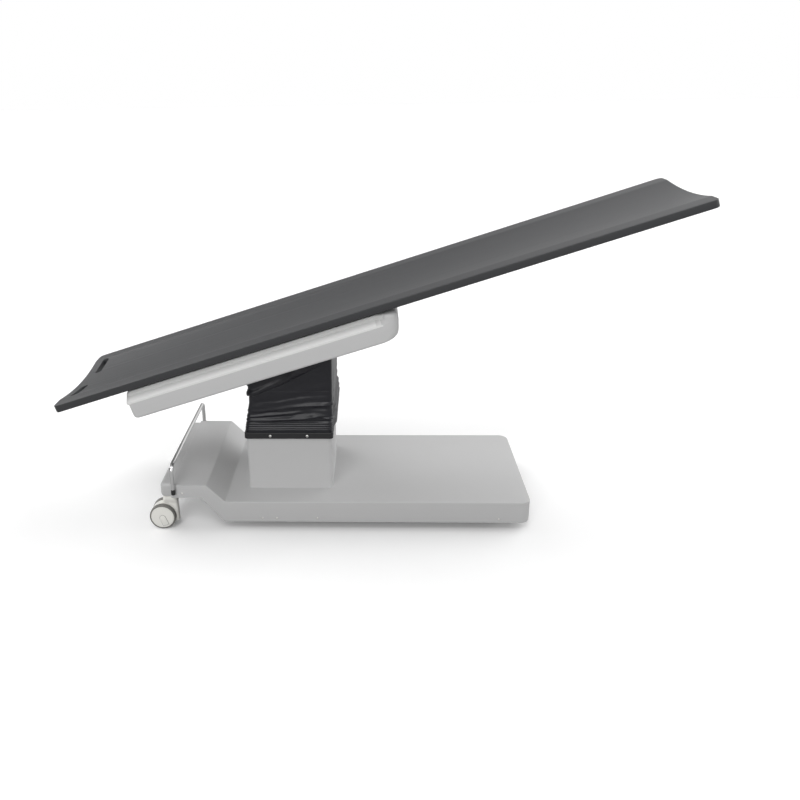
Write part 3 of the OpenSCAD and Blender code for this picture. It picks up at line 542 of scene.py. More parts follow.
def all_materials(colours):
    """Every finish by the record's slot, or by a name of its own where one slot has several. Most of the
    real grains are 0.1 to 0.5 mm wide, too fine to show even from near by, so they are drawn at 1.2 to
    4 mm."""
    abs_grain = {"grain": 1.6, "bump": 0.015, "rough": (0.4, 0.48)}
    metal = {"Metallic": 1.0}
    return {
        # carbon cloth in a resin that is rubbed matt: nearly black, a wide soft sheen and no mirror
        "carbon_panel": finish("matt carbon laminate", colours.laminate, vary=0.03, grain=1.5, bump=0.02,
                               rough=(0.42, 0.52), blotch=90),
        # ABS from a spark-eroded mould: even light grey, with a satin sheen that breaks up in a fine grain
        "deck_shell": finish("moulded ABS", colours.shell, vary=0.012, **abs_grain),
        # nylon coloured in the mass: plain mid grey, satin
        # painted shade: grey nylon, satin, for the line that stands for the groove round each cover's tongue
        "caster_groove_shade": finish("nylon painted as groove shade", hex_linear("#83837f"), vary=0.03, rough=(0.45, 0.55)),
        # the same ABS in two paler tints, which are painted light: they brighten the sides and the shoulder,
        # which stand in the tabletop's shade
        "deck_lid_painted_light": finish("moulded ABS, painted light", colours.lid, vary=0.012, **abs_grain),
        "deck_shoulder_painted_light": finish("moulded ABS, painted strong light", hex_linear("#f7f7f6"), vary=0.008, **abs_grain),
        # powder coat baked on sheet steel: even grey, satin, a low orange peel of 1 to 2 mm
        "base_paint": finish("powder coated steel", colours.cover, vary=0.012, grain=2.4, bump=0.03,
                             rough=(0.4, 0.5)),
        # tight polyester weave under a coating: black with broken highlights along the folds. Its threads
        # are about 0.2 mm apart and are drawn as a grain of 1.2 mm
        "skirt_cloth": finish("coated polyester", colours.cloth, vary=0.12, grain=1.2, bump=0.03,
                              rough=(0.27, 0.35), blotch=40, **{"Specular IOR Level": 0.33}),
        # sprayed strip: deep black with a dull sheen
        "black_band": finish("black painted strip", colours.band, vary=0.05, grain=1.5, bump=0.02),
        # tube polished along its length: bright, mirrors the studio in narrow bands
        "bright_steel": finish("polished stainless steel", hex_linear("#d8d8d8"), vary=0.02, grain=3,
                               bump=0.001, rough=(0.05, 0.1), **metal),
        # nickel plated screws: bright, a little warm and blurred
        "screw_heads": finish("nickel plated steel", hex_linear("#e2e1de"), vary=0.02, grain=2, bump=0.004,
                              rough=(0.32, 0.4), **metal),
        # zinc plating: dull blue-grey metal with cloudy patches
        "zinc_steel": finish("zinc plated steel", hex_linear("#b9bab8"), vary=0.06, grain=4, bump=0.01,
                             rough=(0.28, 0.42), **metal),
        # rough powder coat on the welded frame: charcoal, nearly matt
        "frame_steel": finish("black powder coat", hex_linear("#3a3b3c"), vary=0.05, bump=0.03,
                              rough=(0.5, 0.6)),
        # drawn tube, anodised: pale metal with fine lines along the column
        "column_aluminium": finish("anodised aluminium", hex_linear("#c6c7c8"), vary=0.03, bump=0.005,
                                   rough=(0.3, 0.42), stretch=(1, 1, 0.02), **metal),
        # machined acetal: milky white, waxy
        "glide_plastic": finish("acetal", hex_linear("#e7e6e0"), vary=0.02, rough=(0.35, 0.45)),
        # enamel on a cast housing: dark grey, half gloss, slightly lumpy
        "drive_paint": finish("grey enamel", hex_linear("#54585b"), vary=0.05, grain=3, bump=0.04,
                              rough=(0.35, 0.5)),
        # glass-filled nylon: black, dull, with a mottled skin
        "black_plastic": finish("black nylon", hex_linear("#1b1b1c"), vary=0.08, grain=1.4, bump=0.03,
                                rough=(0.4, 0.52)),
        # pressed and sintered powder: brown metal, dry and finely pitted
        "bush_bronze": finish("sintered bronze", hex_linear("#a8804d"), vary=0.08, grain=1.5,
                              rough=(0.35, 0.5), **metal),
        # moulded rubber: black and quite matt
        "pad_rubber": finish("black rubber", hex_linear("#232323"), vary=0.06, grain=1.2, bump=0.04,
                             rough=(0.6, 0.75)),
        # natural nylon, moulded: off-white with a smooth satin skin
        "caster_plastic": finish("moulded nylon", colours.nylon, vary=0.012, grain=1.8, bump=0.012,
                                 rough=(0.3, 0.4)),
        # soft tread that marks no floor: warm grey, dusty and matt
        "caster_tyre": finish("grey tyre rubber", colours.tyre, vary=0.06, grain=1.5, bump=0.03,
                              rough=(0.55, 0.7)),
    }


def material(slot):
    return bpy.data.materials[bpy.context.scene["table_finishes"][slot]]


# Operators


class TABLE_OT_finishes(bpy.types.Operator):
    """Make the finishes and put them on the CAD nodes"""

    bl_idname = "table.finishes"
    bl_label = "Finishes"

    def execute(self, context):
        made = all_materials(context.scene.table_colours)
        context.scene["table_finishes"] = {slot: m.name for slot, m in made.items()}
        for part in frame["record"]["subparts"]:
            node = frame["nodes"][part["node"]]
            node.data.materials.clear()
            node.data.materials.append(made[part["material_slot"]])
        return {"FINISHED"}


class TABLE_OT_tabletop(bpy.types.Operator):
    """Build the dished tabletop with its hand slots"""

    bl_idname = "table.tabletop"
    bl_label = "Tabletop"

    def execute(self, context):
        top, deck = context.scene.table_top, context.scene.table_deck
        half, corner = top.width / 2, top.corner
        middle = top.rim - top.dish_depth + top.dish_radius
        under = top.dish_radius + top.panel
        spacing, crease, overrun = 0.006, 0.0006, 0.006

        def dish(y):
            # past 0.9 of its radius the arc is held level, so that its root stays real
            return middle - math.sqrt(top.dish_radius**2 - min(abs(y), 0.9 * top.dish_radius) ** 2)

        def top_at(x, y):
            """Upper face: the crease between rim and dish is eased over a few millimetres"""
            gap = dish(y) - top.rim
            return top.rim + (gap - math.sqrt(gap * gap + crease * crease)) / 2

        def low_at(x, y):
            return min(0.0, middle - math.sqrt(under**2 - y * y))

        turns = quarter_turns(10)
        outline = [(-top.low_length + corner - corner * math.sin(a), -half + corner - corner * math.cos(a),
                    -math.sin(a), -math.cos(a)) for a in turns]
        count = int((top.width - 2 * corner) / spacing)
        outline += [(-top.low_length, k * spacing - half + corner, -1, 0) for k in range(1, count + 1)]
        outline += [(-top.low_length + corner - corner * math.cos(a), half - corner + corner * math.sin(a),
                     -math.cos(a), math.sin(a)) for a in turns]
        shift = top.high_length - top.low_length
        points, faces = lidded(outline, lambda x, y: (shift - x, y), top_at, low_at, top.edge)
        piece = make_piece("tabletop_panel", [on_deck(deck, *p) for p in points], faces)
        # each slot is cut by a lofted plug that widens at both faces, which rounds the slot's edges
        ease = 0.0015
        widest = ease * 1.4
        levels = [(widest, low_at, -overrun)]
        levels += [(ease * (1 - math.sin(a)), low_at, ease * (1 - math.cos(a)))
                   for a in (0, 0.5, 1.0, 1.57)]
        levels += [(ease * (1 - math.cos(a)), top_at, -ease * (1 - math.sin(a)))
                   for a in (0, 0.57, 1.07, 1.57)]
        levels += [(widest, top_at, overrun)]
        reach_y = (top.slot_length - top.slot_width) / 2
        for side in (-1, 1):
            x, y, r = -top.low_length + top.slot_inset, side * top.slot_offset, top.slot_width / 2
            rings = []
            for grow, place_at, lift in levels:
                plan = arc((x, y - reach_y), r + grow, 180, 360, 16)
                plan += arc((x, y + reach_y), r + grow, 0, 180, 16)
                rings.append([on_deck(deck, a, b, place_at(a, b) + lift) for a, b in plan])
            cut(piece, *loft(rings))
        crisp(piece)
        place(piece, "table", "carbon_panel", "tabletop")
        return {"FINISHED"}


# Ends of the deck housing: depth below the rim underside and distance from the pivot, in millimetres
HIGH_END = [(15, 400), (17, 405.5), (20, 410), (24, 413.5), (28, 415), (50, 412.5), (67, 407.5), (76, 405),
            (84, 402), (90, 399), (95, 394.5), (99, 388.5), (101.5, 382), (103.5, 372), (104.5, 359)]
LOW_END_LID = [(15, 560), (16.5, 564), (19, 567.5), (24, 571), (32, 573.5), (40, 574), (50, 573)]
LOW_END_SHELL = [(50, 567), (90, 567.5), (97, 567), (101, 565), (103.5, 561.5), (104.5, 557)]


class TABLE_OT_housing(bpy.types.Operator):
    """Build the two shells of the deck housing"""

    bl_idname = "table.housing"
    bl_label = "Deck housing"

    def execute(self, context):
        deck = context.scene.table_deck
        half = deck.width / 2
        # the shoulder fades out before this place, over the deck's fade
        fade_to = deck.high_length - 0.03
        # small offsets that keep neighbouring rows of points apart
        hair, lip = 0.0002, 0.0004

        def rounding(radius, past):
            """Set-back of a rounded edge at a distance past the start of its rounding"""
            return radius - math.sqrt(radius**2 - min(max(past, 0), radius) ** 2)

        def level(depth, low_end, reach, cap):
            """Outline at a depth: the sides widen from their reach to the cap's before the high end"""
            high, low = knotted(depth * 1000, HIGH_END) / 1000, -knotted(depth * 1000, low_end) / 1000
            r, q = deck.corner, deck.low_corner
            side = [(high - r * (1 - math.cos(a)), cap - r * (1 - math.sin(a))) for a in quarter_turns(10)]
            steps = 12
            for k in range(steps + 1):
                t = k / steps
                x = min(fade_to - deck.fade * t, high - r - 0.001 * (k + 1))
                side.append((x, cap + (reach - cap) * t * t * (3 - 2 * t)))
            side += [(low + q * (1 - math.sin(a)), reach - q * (1 - math.cos(a))) for a in quarter_turns(10)]
            return [on_deck(deck, x, y, -depth) for x, y in side + [(x, -y) for x, y in reversed(side)]]

        self.lower_shell(deck, half, hair, rounding, level)
        self.upper_shell(deck, half, hair, lip, fade_to, rounding, level)
        return {"FINISHED"}

    def lower_shell(self, deck, half, hair, rounding, level):
        """Outlines from the seam down to the mouth for the column"""
        depths = [deck.seam, deck.seam + 0.0006, 0.06] + [k / 1000 for k, _ in HIGH_END if k > 60]
        depths += [deck.bottom - deck.edge * (1 - math.sin(math.radians(18 * k))) for k in range(5)]
        rings = []
        for depth in sorted(depths):
            inset = rounding(deck.edge, depth - deck.bottom + deck.edge) + (hair if depth == deck.seam else 0)
            rings.append(level(depth, LOW_END_SHELL, half - inset, half - inset))
        # the mouth gets as many points as the rows, starting near the same corner
        count = len(rings[0])
        mouth = rounded_outline(-deck.mouth_x / 2, deck.mouth_x / 2, -deck.mouth_y / 2, deck.mouth_y / 2,
                                deck.edge, steps=(count - 4) // 4)
        mouth = mouth[:count] if len(mouth) >= count else mouth + [mouth[-1]] * (count - len(mouth))
        start = (len(mouth) * 3) // 8
        mouth = mouth[start:] + mouth[:start]
        rings.append([on_deck(deck, x, y, -deck.bottom) for x, y in mouth])
        lower = make_piece("deck_shell_lower", *loft(rings, cap_first=False, cap_last=False), outward=False)
        change(lower, "SOLIDIFY", thickness=deck.wall, offset=-1)
        crisp(lower, 40)
        place(lower, "table", "deck_shell", "housing_lower")

    def upper_shell(self, deck, half, hair, lip, fade_to, rounding, level):
        """Flange, sloping shoulder and lid, flush with the lower shell round the high end"""
        flange, lid_edge = deck.seam - 0.003, 0.009
        wall_low = flange - deck.shoulder
        section = filleted([(half - hair, deck.seam), (half, deck.seam - lip), (half, flange),
                            (half - deck.inset, wall_low), (half - deck.inset, deck.top)], 0.0012)
        section = [section[0]] + [p for before, p in zip(section, section[1:]) if before != p]
        wall = [k / 1000 for k, _ in HIGH_END if deck.top * 1000 < k < wall_low * 1000 - 2]
        for depth in sorted(wall, reverse=True):
            section.insert(-1, (half - deck.inset, depth))
        rings = [level(depth, LOW_END_LID, reach, half - rounding(lid_edge, deck.top + lid_edge - depth))
                 for reach, depth in section]
        count = len(rings[0])
        upper = make_piece("deck_shell_upper", *loft(rings, cap_first=False), outward=False)
        # painted light: the sides are paler than the ends, and the shoulder is the palest, to brighten them
        # in the tabletop's shade
        plain, pale, white = range(3)
        for slot in ("deck_shell", "deck_lid_painted_light", "deck_shoulder_painted_light"):
            upper.data.materials.append(material(slot))
        tones = [white if half - deck.inset < (a[0] + b[0]) / 2 < half - lip else pale
                 for a, b in zip(section, section[1:])]
        painted_light_to = on_deck(deck, fade_to - deck.fade / 2, 0, -deck.seam)[0]
        for k, face in enumerate(upper.data.polygons):
            tone = tones[k // count] if k // count < len(tones) else plain
            if tone == white and face.center.x > painted_light_to - 0.03:
                # the shoulder's tip comes out of the tabletop's shade, so it needs less white
                tone = pale if face.center.x < painted_light_to - 0.008 else plain
            elif face.center.x >= painted_light_to:
                tone = plain
            face.material_index = tone
        change(upper, "SOLIDIFY", thickness=deck.wall, offset=1)
        crisp(upper, 40)
        place(upper, "table", "deck_shell", "housing_upper")


class TABLE_OT_base(bpy.types.Operator):
    """Build the base cover, the end beam and the column cover"""

    bl_idname = "table.base"
    bl_label = "Base"

    def execute(self, context):
        base, column = context.scene.table_base, context.scene.table_column
        self.base_cover(base)
        self.end_beam(base)
        self.column_cover(base, column)
        return {"FINISHED"}

    def base_cover(self, base):
        """Folded cover with its platform, slope and ledge, open underneath"""
        half = base.width / 2
        upper_bend, lower_bend, ledge_corner = 0.012, 0.006, 0.004
        upper = filleted([(-base.ledge_end, base.ledge), (-base.slope_top, base.ledge),
                          (-base.slope_foot, base.platform), (base.long_end, base.platform)], upper_bend)
        lower = filleted([(-base.ledge_end, base.ledge_under), (-base.under_top, base.ledge_under),
                          (-base.under_foot, base.underside), (base.long_end, base.underside)], lower_bend)

        def height(line):
            return lambda x, y: float(np.interp(x - COLUMN_X, [p[0] for p in line], [p[1] for p in line]))

        # the ledge's end butts on the end beam, so its edges stay nearly sharp
        left, right = -base.ledge_end + ledge_corner, base.long_end - base.corner
        outline = []
        for middle, r, start, share in ((left, ledge_corner, 180, 0.25), (right, base.corner, 270, 1)):
            if start == 270:
                for x in sorted({p[0] for p in upper + lower}):
                    if left < x < right:
                        outline.append((COLUMN_X + x, -half, 0, -1))
            for x, y in arc((middle, -half + r), r, start, start + 90, 10):
                outline.append((COLUMN_X + x, y, (x - middle) / r, (y + half - r) / r, share))
        points, faces = lidded(outline, lambda x, y: (x, -y), height(upper), height(lower), base.edge,
                               closed=False)
        cover = make_piece("base_shell", points, faces, outward=False)
        change(cover, "SOLIDIFY", thickness=base.wall, offset=-1)
        inlet_low, inlet_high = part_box("mains_inlet")
        gap, deep = 0.002, 0.02
        low = (inlet_low.x + gap, half - deep, inlet_low.z + gap)
        cut(cover, *box_shape(low, (inlet_high.x - gap, half + deep, inlet_high.z - gap)))
        # the column tubes and the lift rod come down through the platform, inside the column cover
        hole = base.column_hole / 2
        low = (COLUMN_X - hole, -hole, base.platform - deep)
        cut(cover, *box_shape(low, (COLUMN_X + hole, hole, base.platform + deep)))
        crisp(cover)
        place(cover, "base", "base_paint", "base_cover")

    def end_beam(self, base):
        """Beam that is rounded on its outer side and flat against the ledge"""
        x0, x1, r = -base.ledge_end - base.beam, -base.ledge_end, base.beam_corner
        y, crown = base.beam_length / 2, base.beam_crown
        outline = [(x1, -y, 0, -1)]
        outline += [(a, b, (a - x0 - r) / r, (b + y - r) / r)
                    for a, b in arc((x0 + r, r - y), r, 270, 180, 10)]
        outline += [(x0, b, -1, 0) for b in (-y * 0.6, -y * 0.3, -0.001)]
        under, foot, bend = base.ledge_under, 0.004, 0.0012
        levels = [(under, foot), (under + bend, bend), (under + foot, 0)]
        levels += [(base.ledge - crown * (1 - math.sin(a)), crown * (1 - math.cos(a)))
                   for a in quarter_turns(8)]
        rings = []
        for height, inset in levels:
            plan = [(a - min(c, 0) * inset, b - d * inset) for a, b, c, d in outline]
            plan += [(a, -b) for a, b in reversed(plan)]
            rings.append([(COLUMN_X + a, b, height) for a, b in plan])
        plain_piece("end_beam_cap", loft(rings), "base", "base_paint", "end_beam")

    def column_cover(self, base, column):
        """Folded box that stands on a small fillet"""
        foot = [(column.foot, 0), (column.foot * 0.3, column.foot * 0.3), (0, column.foot),
                (0, column.cover_top - base.platform)]
        rings = [column_ring(column, grow, base.platform + height, column.corner + grow)
                 for grow, height in foot]
        cover = make_piece("column_cover_shell", *loft(rings, cap_first=False, cap_last=False), outward=False)
        change(cover, "SOLIDIFY", thickness=column.wall, offset=-1)
        crisp(cover)
        place(cover, "base", "base_paint", "column_cover")


# Folds of the skirt: width above and below the ridge, and knots of distance from the column, height and
# size, all in millimetres. A negative size is a valley. The first four are the fine pleats over the band.
FOLDS = [
    (3.0, 1.6, [(-160, 350, 2.6), (160, 350.5, 2.6)]),
    (3.2, 1.6, [(-160, 357.5, 3.2), (0, 358, 3.6), (160, 358, 3.0)]),
    (3.4, 1.7, [(-160, 366.5, 2.8), (20, 367, 3.2), (160, 367, 3.2)]),
    (3.4, 2.0, [(-160, 375, 2.0), (-60, 375.5, 3.2), (160, 376.5, 3.4)]),
    (2.4, 3.0, [(-160, 381, -2.6), (0, 382, -3.4), (160, 385, -3.2)]),
    (9.5, 2.6, [(-160, 387, 2.6), (-77, 388, 4.5), (-49, 390, 5.5), (30, 393, 6.0), (60, 396, 7.0),
                (94, 402, 7.5), (113, 401, 6.5), (160, 393, 5.5)]),
    (3.5, 4.0, [(-160, 396, -2.4), (-60, 399, -3.0), (0, 402, -3.2), (30, 411, -2.6), (60, 416, -1.0),
                (100, 420, 0), (160, 420, 0)]),
    (5.0, 2.6, [(-160, 401, 2.0), (-118, 403, 2.8), (-76, 408, 3.4), (-20, 414, 2.8), (20, 417, 1.8),
                (60, 424, 0.4), (160, 428, 0.2)]),
    (9.0, 3.2, [(-160, 422, 1.6), (-89, 424, 2.4), (-69, 428, 2.6), (-34, 431, 2.6), (0, 436, 2.6),
                (32, 440, 4.0), (60, 444, 5.5), (100, 447, 6.5), (160, 447, 6.0)]),
    (4.0, 9.0, [(-160, 412, -0.4), (-20, 421, -0.8), (44, 430, -2.2), (100, 434, -3.4), (160, 433, -3.0)]),
    (9.0, 5.0, [(-160, 441, 0.1), (-74, 448, 0.7), (-47, 452, 0.8), (-19, 458, 0.8), (45, 467, 0.7),
                (100, 473, 0.5), (160, 475, 0.5)]),
    (7.0, 6.0, [(-160, 452, -0.3), (-74, 463, -1.2), (-33, 466, -1.4), (46, 480, -1.6), (160, 489, -1.0)]),
    (15.0, 12.0, [(-160, 462, 0.2), (0, 492, 0.8), (70, 510, 1.8), (110, 514, 1.8), (160, 520, 1.0)]),
    (6.0, 9.0, [(-160, 452, -0.2), (0, 482, -0.6), (85, 497, -1.4), (160, 506, -1.0)]),
]
# Small dents between the folds: size, place and half lengths in both directions
DENTS = [
    (3.0, 97, 404, 18, 6), (-5.0, 124, 401, 18, 3.6), (3.0, 150, 396, 12, 4), (-2.0, -20, 404, 26, 4),
    (1.4, -100, 441, 30, 6), (-2.2, 137, 460, 22, 3.5), (1.6, 70, 432, 26, 5), (-1.4, -60, 420, 30, 4),
]
# Long crease where the upper cloth hangs over the lower
CREASE = [(-160, 474), (-136, 482), (-110, 489), (-86, 500), (-58, 511), (-16, 527), (3, 535), (51, 560),
          (99, 588), (131, 604), (160, 618)]
# Half length of the skirt on the low and on the high side, by height
LOW_SIDE = [(332, 157), (347, 156), (398, 149), (440, 142), (467, 139), (477, 139), (505, 139), (517, 140),
            (527, 148), (534, 152), (600, 152)]
HIGH_SIDE = [(332, 158), (347, 158), (387, 159), (467, 160), (555, 160), (621, 161), (680, 159)]
# How far the cloth billows at the back of the high side, by height
BILLOW = [(341, 0), (344, 8), (350, 11), (365, 12), (385, 10.5), (400, 9.5), (419, 11.5), (430, 6), (437, 0),
          (445, 1), (463, 4), (500, 5.5), (560, 4), (625, 2)]


def knotted(at, knots):
    return np.interp(at, [k[0] for k in knots], [k[1] for k in knots])


def eased(t):
    t = np.clip(t, 0, 1)
    return t * t * (3 - 2 * t)


def fold_reach(x, z, turn):
    """How far the cloth stands out: x from the column and z from the floor in millimetres, and turn
    counts the four faces from the near low corner"""
    away = eased((turn - 1) / 0.3) * eased((4 - turn) / 0.3)
    drift = away * (3.0 * np.sin(turn * math.pi / 2) + 2.0 * np.sin(turn * math.pi + 0.8))
    # the folds flatten towards both ends of the near face, and for a little way round its right corner
    corner = np.where(turn < 1, 1 - 0.8 * eased((np.abs(x) - 132) / 20),
                      1 - 0.5 * eased((1.12 - turn) / 0.12))
    reach = np.zeros_like(z)
    for k, (above, below, knots) in enumerate(FOLDS):
        off = z - knotted(x, knots) - drift * (0.15 if k < 4 else 1.0)
        off = off - 0.7 * np.sin(x / (13.0 + 2 * k) + 1.7 * k) * (0.25 if k < 4 else 1.0)
        size = np.interp(x, [knot[0] for knot in knots], [knot[2] for knot in knots])
        size = size * (1 + away * 0.35 * np.sin(turn * math.pi / 2 + 1.3 * k))
        side = size * np.where(off > 0, np.exp(-((off / above) ** 2)), np.exp(-((off / below) ** 2)))
        reach = reach + side * (corner * (1 - 0.45 * away) if k > 3 else 1 - 0.5 * (1 - corner))
    for size, at_x, at_z, long, high in DENTS:
        reach = reach + size * np.exp(-(((x - at_x) / long) ** 2) - (((z - drift - at_z) / high) ** 2))
    over = z - knotted(x, CREASE) - drift
    left = np.clip((45 - x) / 165, 0, 1)
    pocket = np.exp(-(((x - 32) / 36) ** 2))
    tail = 1 - eased((x - 100) / 40)
    # the upper cloth steps out over the lower, steeply along the crease and gently at the pocket
    step = eased((over + 1) / (3.0 + 13.0 * pocket))
    slack = 1 - (0.35 + 0.45 * left) * eased((over - 10 - 8 * pocket) / (16 + 14 * (1 - left)))
    reach = reach + (4.0 + 5.0 * left + 7.0 * pocket) * tail * step * slack
    reach = reach - 1.0 * tail * np.exp(-(((over + 1.5) / 3.0) ** 2)) * (1 - pocket)
    billow = eased((turn - 1) / 0.22) * (1 - eased((turn - 2.1) / 0.3))
    reach = reach + billow * knotted(z, BILLOW)
    reach = reach + 0.22 * np.sin(x / 9.0 + 1.2 * np.sin(z / 13.0) + 5 * turn) * np.sin(z / 6.1 + x / 47.0)
    return reach * eased((z - 340.5) / 3.5)


def skirt_path(turn_share, low, high, half_y, corner):
    """Places, outward directions and turn counts at shares of the way round, for one row"""
    along = np.array([low + high - 2 * corner, 2 * half_y - 2 * corner] * 2)
    bend = corner * math.pi / 2
    ends = np.cumsum(np.column_stack([along, [bend] * 4]).ravel())
    distance = turn_share * ends[-1]
    x, y, a, b, turn = (np.zeros_like(distance) for _ in range(5))
    starts = [((-low + corner, -half_y), (1, 0), (0, -1)), ((high, -half_y + corner), (0, 1), (1, 0)),
              ((high - corner, half_y), (-1, 0), (0, 1)), ((-low, half_y - corner), (0, -1), (-1, 0))]
    for face, ((sx, sy), (dx, dy), (ox, oy)) in enumerate(starts):
        begin = ends[2 * face - 1] if face else 0.0
        on = (distance >= begin) & (distance <= ends[2 * face])
        gone = distance - begin
        x[on], y[on], a[on], b[on] = (sx + dx * gone[on], sy + dy * gone[on], ox, oy)
        turn[on] = face + gone[on] / along[face]
        on = (distance > ends[2 * face]) & (distance <= ends[2 * face + 1] + 1e-9)
        angle = (distance[on] - ends[2 * face]) / corner
        a[on], b[on] = ox * np.cos(angle) + dx * np.sin(angle), oy * np.cos(angle) + dy * np.sin(angle)
        cx, cy = sx + dx * along[face] - ox * corner, sy + dy * along[face] - oy * corner
        x[on], y[on], turn[on] = cx + corner * a[on], cy + corner * b[on], face + 1
    return x, y, a, b, turn


class TABLE_OT_skirt(bpy.types.Operator):
    """Build the two lengths of folded cloth and the band"""

    bl_idname = "table.skirt"
    bl_label = "Skirt"

    def execute(self, context):
        skirt, deck, column = context.scene.table_skirt, context.scene.table_deck, context.scene.table_column
        c, s = math.cos(deck.tilt), math.sin(deck.tilt)
        count = int(round((4 * skirt.half_y + 2 * column.cover_x) / skirt.column_step))
        shares = np.arange(count) / count

        def ring(shares, z):
            """Places, directions and turn counts of one row of points at a height"""
            return skirt_path(shares, knotted(z * 1000, LOW_SIDE) / 1000, knotted(z * 1000, HIGH_SIDE) / 1000,
                              skirt.half_y, skirt.corner)

        def row(height, lean):
            """Row at a height, or leant a share of the way from the carrying frame to the deck"""
            z = np.full(count, height)
            x, y, a, b, turn = ring(shares, height)
            # in a leaning row places and heights follow from each other: three rounds settle them
            for _ in range(3 if lean else 0):
                rings = [ring(shares[k : k + 1], z[k]) for k in range(count)]
                x, y, a, b, turn = (np.array([r[i][0] for r in rings]) for i in range(5))
                z = skirt.middle + lean * (deck.pivot_height + x * s - skirt.deck_drop * c - skirt.middle)
            reach = fold_reach(x * 1000, z * 1000, turn) / 1000
            # the folds fade out just under the deck
            reach = reach * np.minimum(1.0, (1 - lean) / 0.1 + 0.1)
            return [tuple(p) for p in np.column_stack([COLUMN_X + x + a * reach, y + b * reach, z])]

        tall, tallest_upper = skirt.middle - skirt.low, 0.125
        rows_low, rows_high = int(tall / skirt.row_step), int(tallest_upper / skirt.row_step)
        low_rings = [row(skirt.low + tall * k / rows_low, 0) for k in range(rows_low + 1)]
        high_rings = [row(skirt.middle, 0)] + [row(0, k / rows_high) for k in range(1, rows_high + 1)]
        # the upper cloth's first row lies on the column's frame and its last row on the deck. A line from the
        # first row's low side, leaning half as far as the deck, is worked out, but nothing uses it
        foot = Vector((min(p[0] for p in high_rings[0]), 0, skirt.middle))
        up = Vector((-math.sin(deck.tilt / 2), 0, math.cos(deck.tilt / 2)))
        rise = min((Vector(p) - foot).dot(up) for p in high_rings[-1])
        lengths = (
            ("skirt_cloth_low", ("base", "column_top"), "skirt_lower", low_rings,
             ((COLUMN_X, 0, skirt.low + 0.01), (COLUMN_X, 0, skirt.middle)),
             ["column_cover_shell", "skirt_frame"]),
            ("skirt_cloth_high", ("column_top", "table"), "skirt_upper", high_rings,
             (tuple(foot), tuple(foot + up * rise)), ["skirt_frame", "skirt_top_frame"]),
        )
        for name, bodies, node, rings, (start, end), rests in lengths:
            points, faces = loft(rings, cap_first=False, cap_last=False)
            cloth = make_piece(name, points, faces, outward=False)
            first = rings[0]
            around = sum((Vector(a) - Vector(b)).length for a, b in zip(first, first[1:] + first[:1]))
            place(cloth, None, "skirt_cloth", node)
            change(cloth, "SOLIDIFY", thickness=skirt.cloth, offset=-1)
            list(bodies)
            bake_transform(cloth)
            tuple(start)
            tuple(end)
            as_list(rests)
        # band: a strip bent round the cover, with sharp bends and softened edges
        ease = column.band * 0.3
        profile = [(0.0001, column.band_low), (column.band - ease, column.band_low),
                   (column.band, column.band_low + ease), (column.band, column.band_high - ease),
                   (column.band - ease, column.band_high), (0.0001, column.band_high)]
        rings = [column_ring(column, grow, z, column.corner if grow < ease else column.band_corner)
                 for grow, z in profile]
        strip = loft(rings + [rings[0]], cap_first=False, cap_last=False)
        plain_piece("skirt_band_strip", strip, "base", "black_band", "skirt_band")
        return {"FINISHED"}


def screw_head(x, y, z, side, radius, height, steps=36):
    """Domed screw head with a six-sided recess, on a face square to Y"""
    dome = [(radius * math.cos(a), height * math.sin(a)) for a in quarter_turns(6)[:-1]]
    recess = radius * 0.34
    points, faces = turned([(radius, -0.0004)] + dome + [(recess, height)], (x, y, z), side, steps=steps)
    faces = faces[:-1]
    rim, start = list(range(len(points) - steps, len(points))), len(points)
    # the recess's floor: its points gather in the six corners
    corners = [2 * math.pi * round(k / 6) / 6 for k in range(steps)]
    points = points + [(x + recess * 0.95 * math.cos(a), y + side * height * 0.35,
                        z + recess * 0.95 * math.sin(a)) for a in corners]
    faces += [(rim[k], rim[(k + 1) % steps], start + (k + 1) % steps, start + k) for k in range(steps)]
    faces.append(tuple(start + k for k in range(3, steps, 6)))
    return points, faces


class TABLE_OT_screws(bpy.types.Operator):
    """Build the heads of the cover screws and the band screws"""

    bl_idname = "table.screws"
    bl_label = "Screws"

    def execute(self, context):
        base, column = context.scene.table_base, context.scene.table_column
        near = [(share * base.long_end, 0.051) for share in (-0.11, -0.05, 0.12, 0.87)]
        near.append((-base.ledge_end + base.beam, 0.149))
        band_z = (column.band_low + column.band_high) / 2
        on_band = [(-column.band_screw_x, band_z), (column.band_screw_x, band_z)]
        for name, places, face, radius, height in (
            ("cover_screw", near, base.width / 2, 0.0035, 0.0014),
            ("band_screw", on_band, column.cover_y / 2 + column.band, column.band_screw, 0.0022),
        ):
            parts = [screw_head(COLUMN_X + x, side * face, z, side, radius, height)
                     for side in (-1, 1) for x, z in places]
            heads = make_piece(f"{name}_heads", *joined(*parts))
            place(heads, "base", "bright_steel", f"{name}s", look="screw_heads")
        return {"FINISHED"}


def wheel(disc, rim, tread, profile, body, nodes, centre, facing=1):
    """Disc and tread of one wheel, each turned from its profile"""
    for name, line, slot, node, steps in ((disc, rim, "caster_plastic", nodes[0], 72),
                                          (tread, profile, "caster_tyre", nodes[1], 96)):
        plain_piece(name, turned(line, centre, facing, steps=steps, ring=True), body, slot, node)


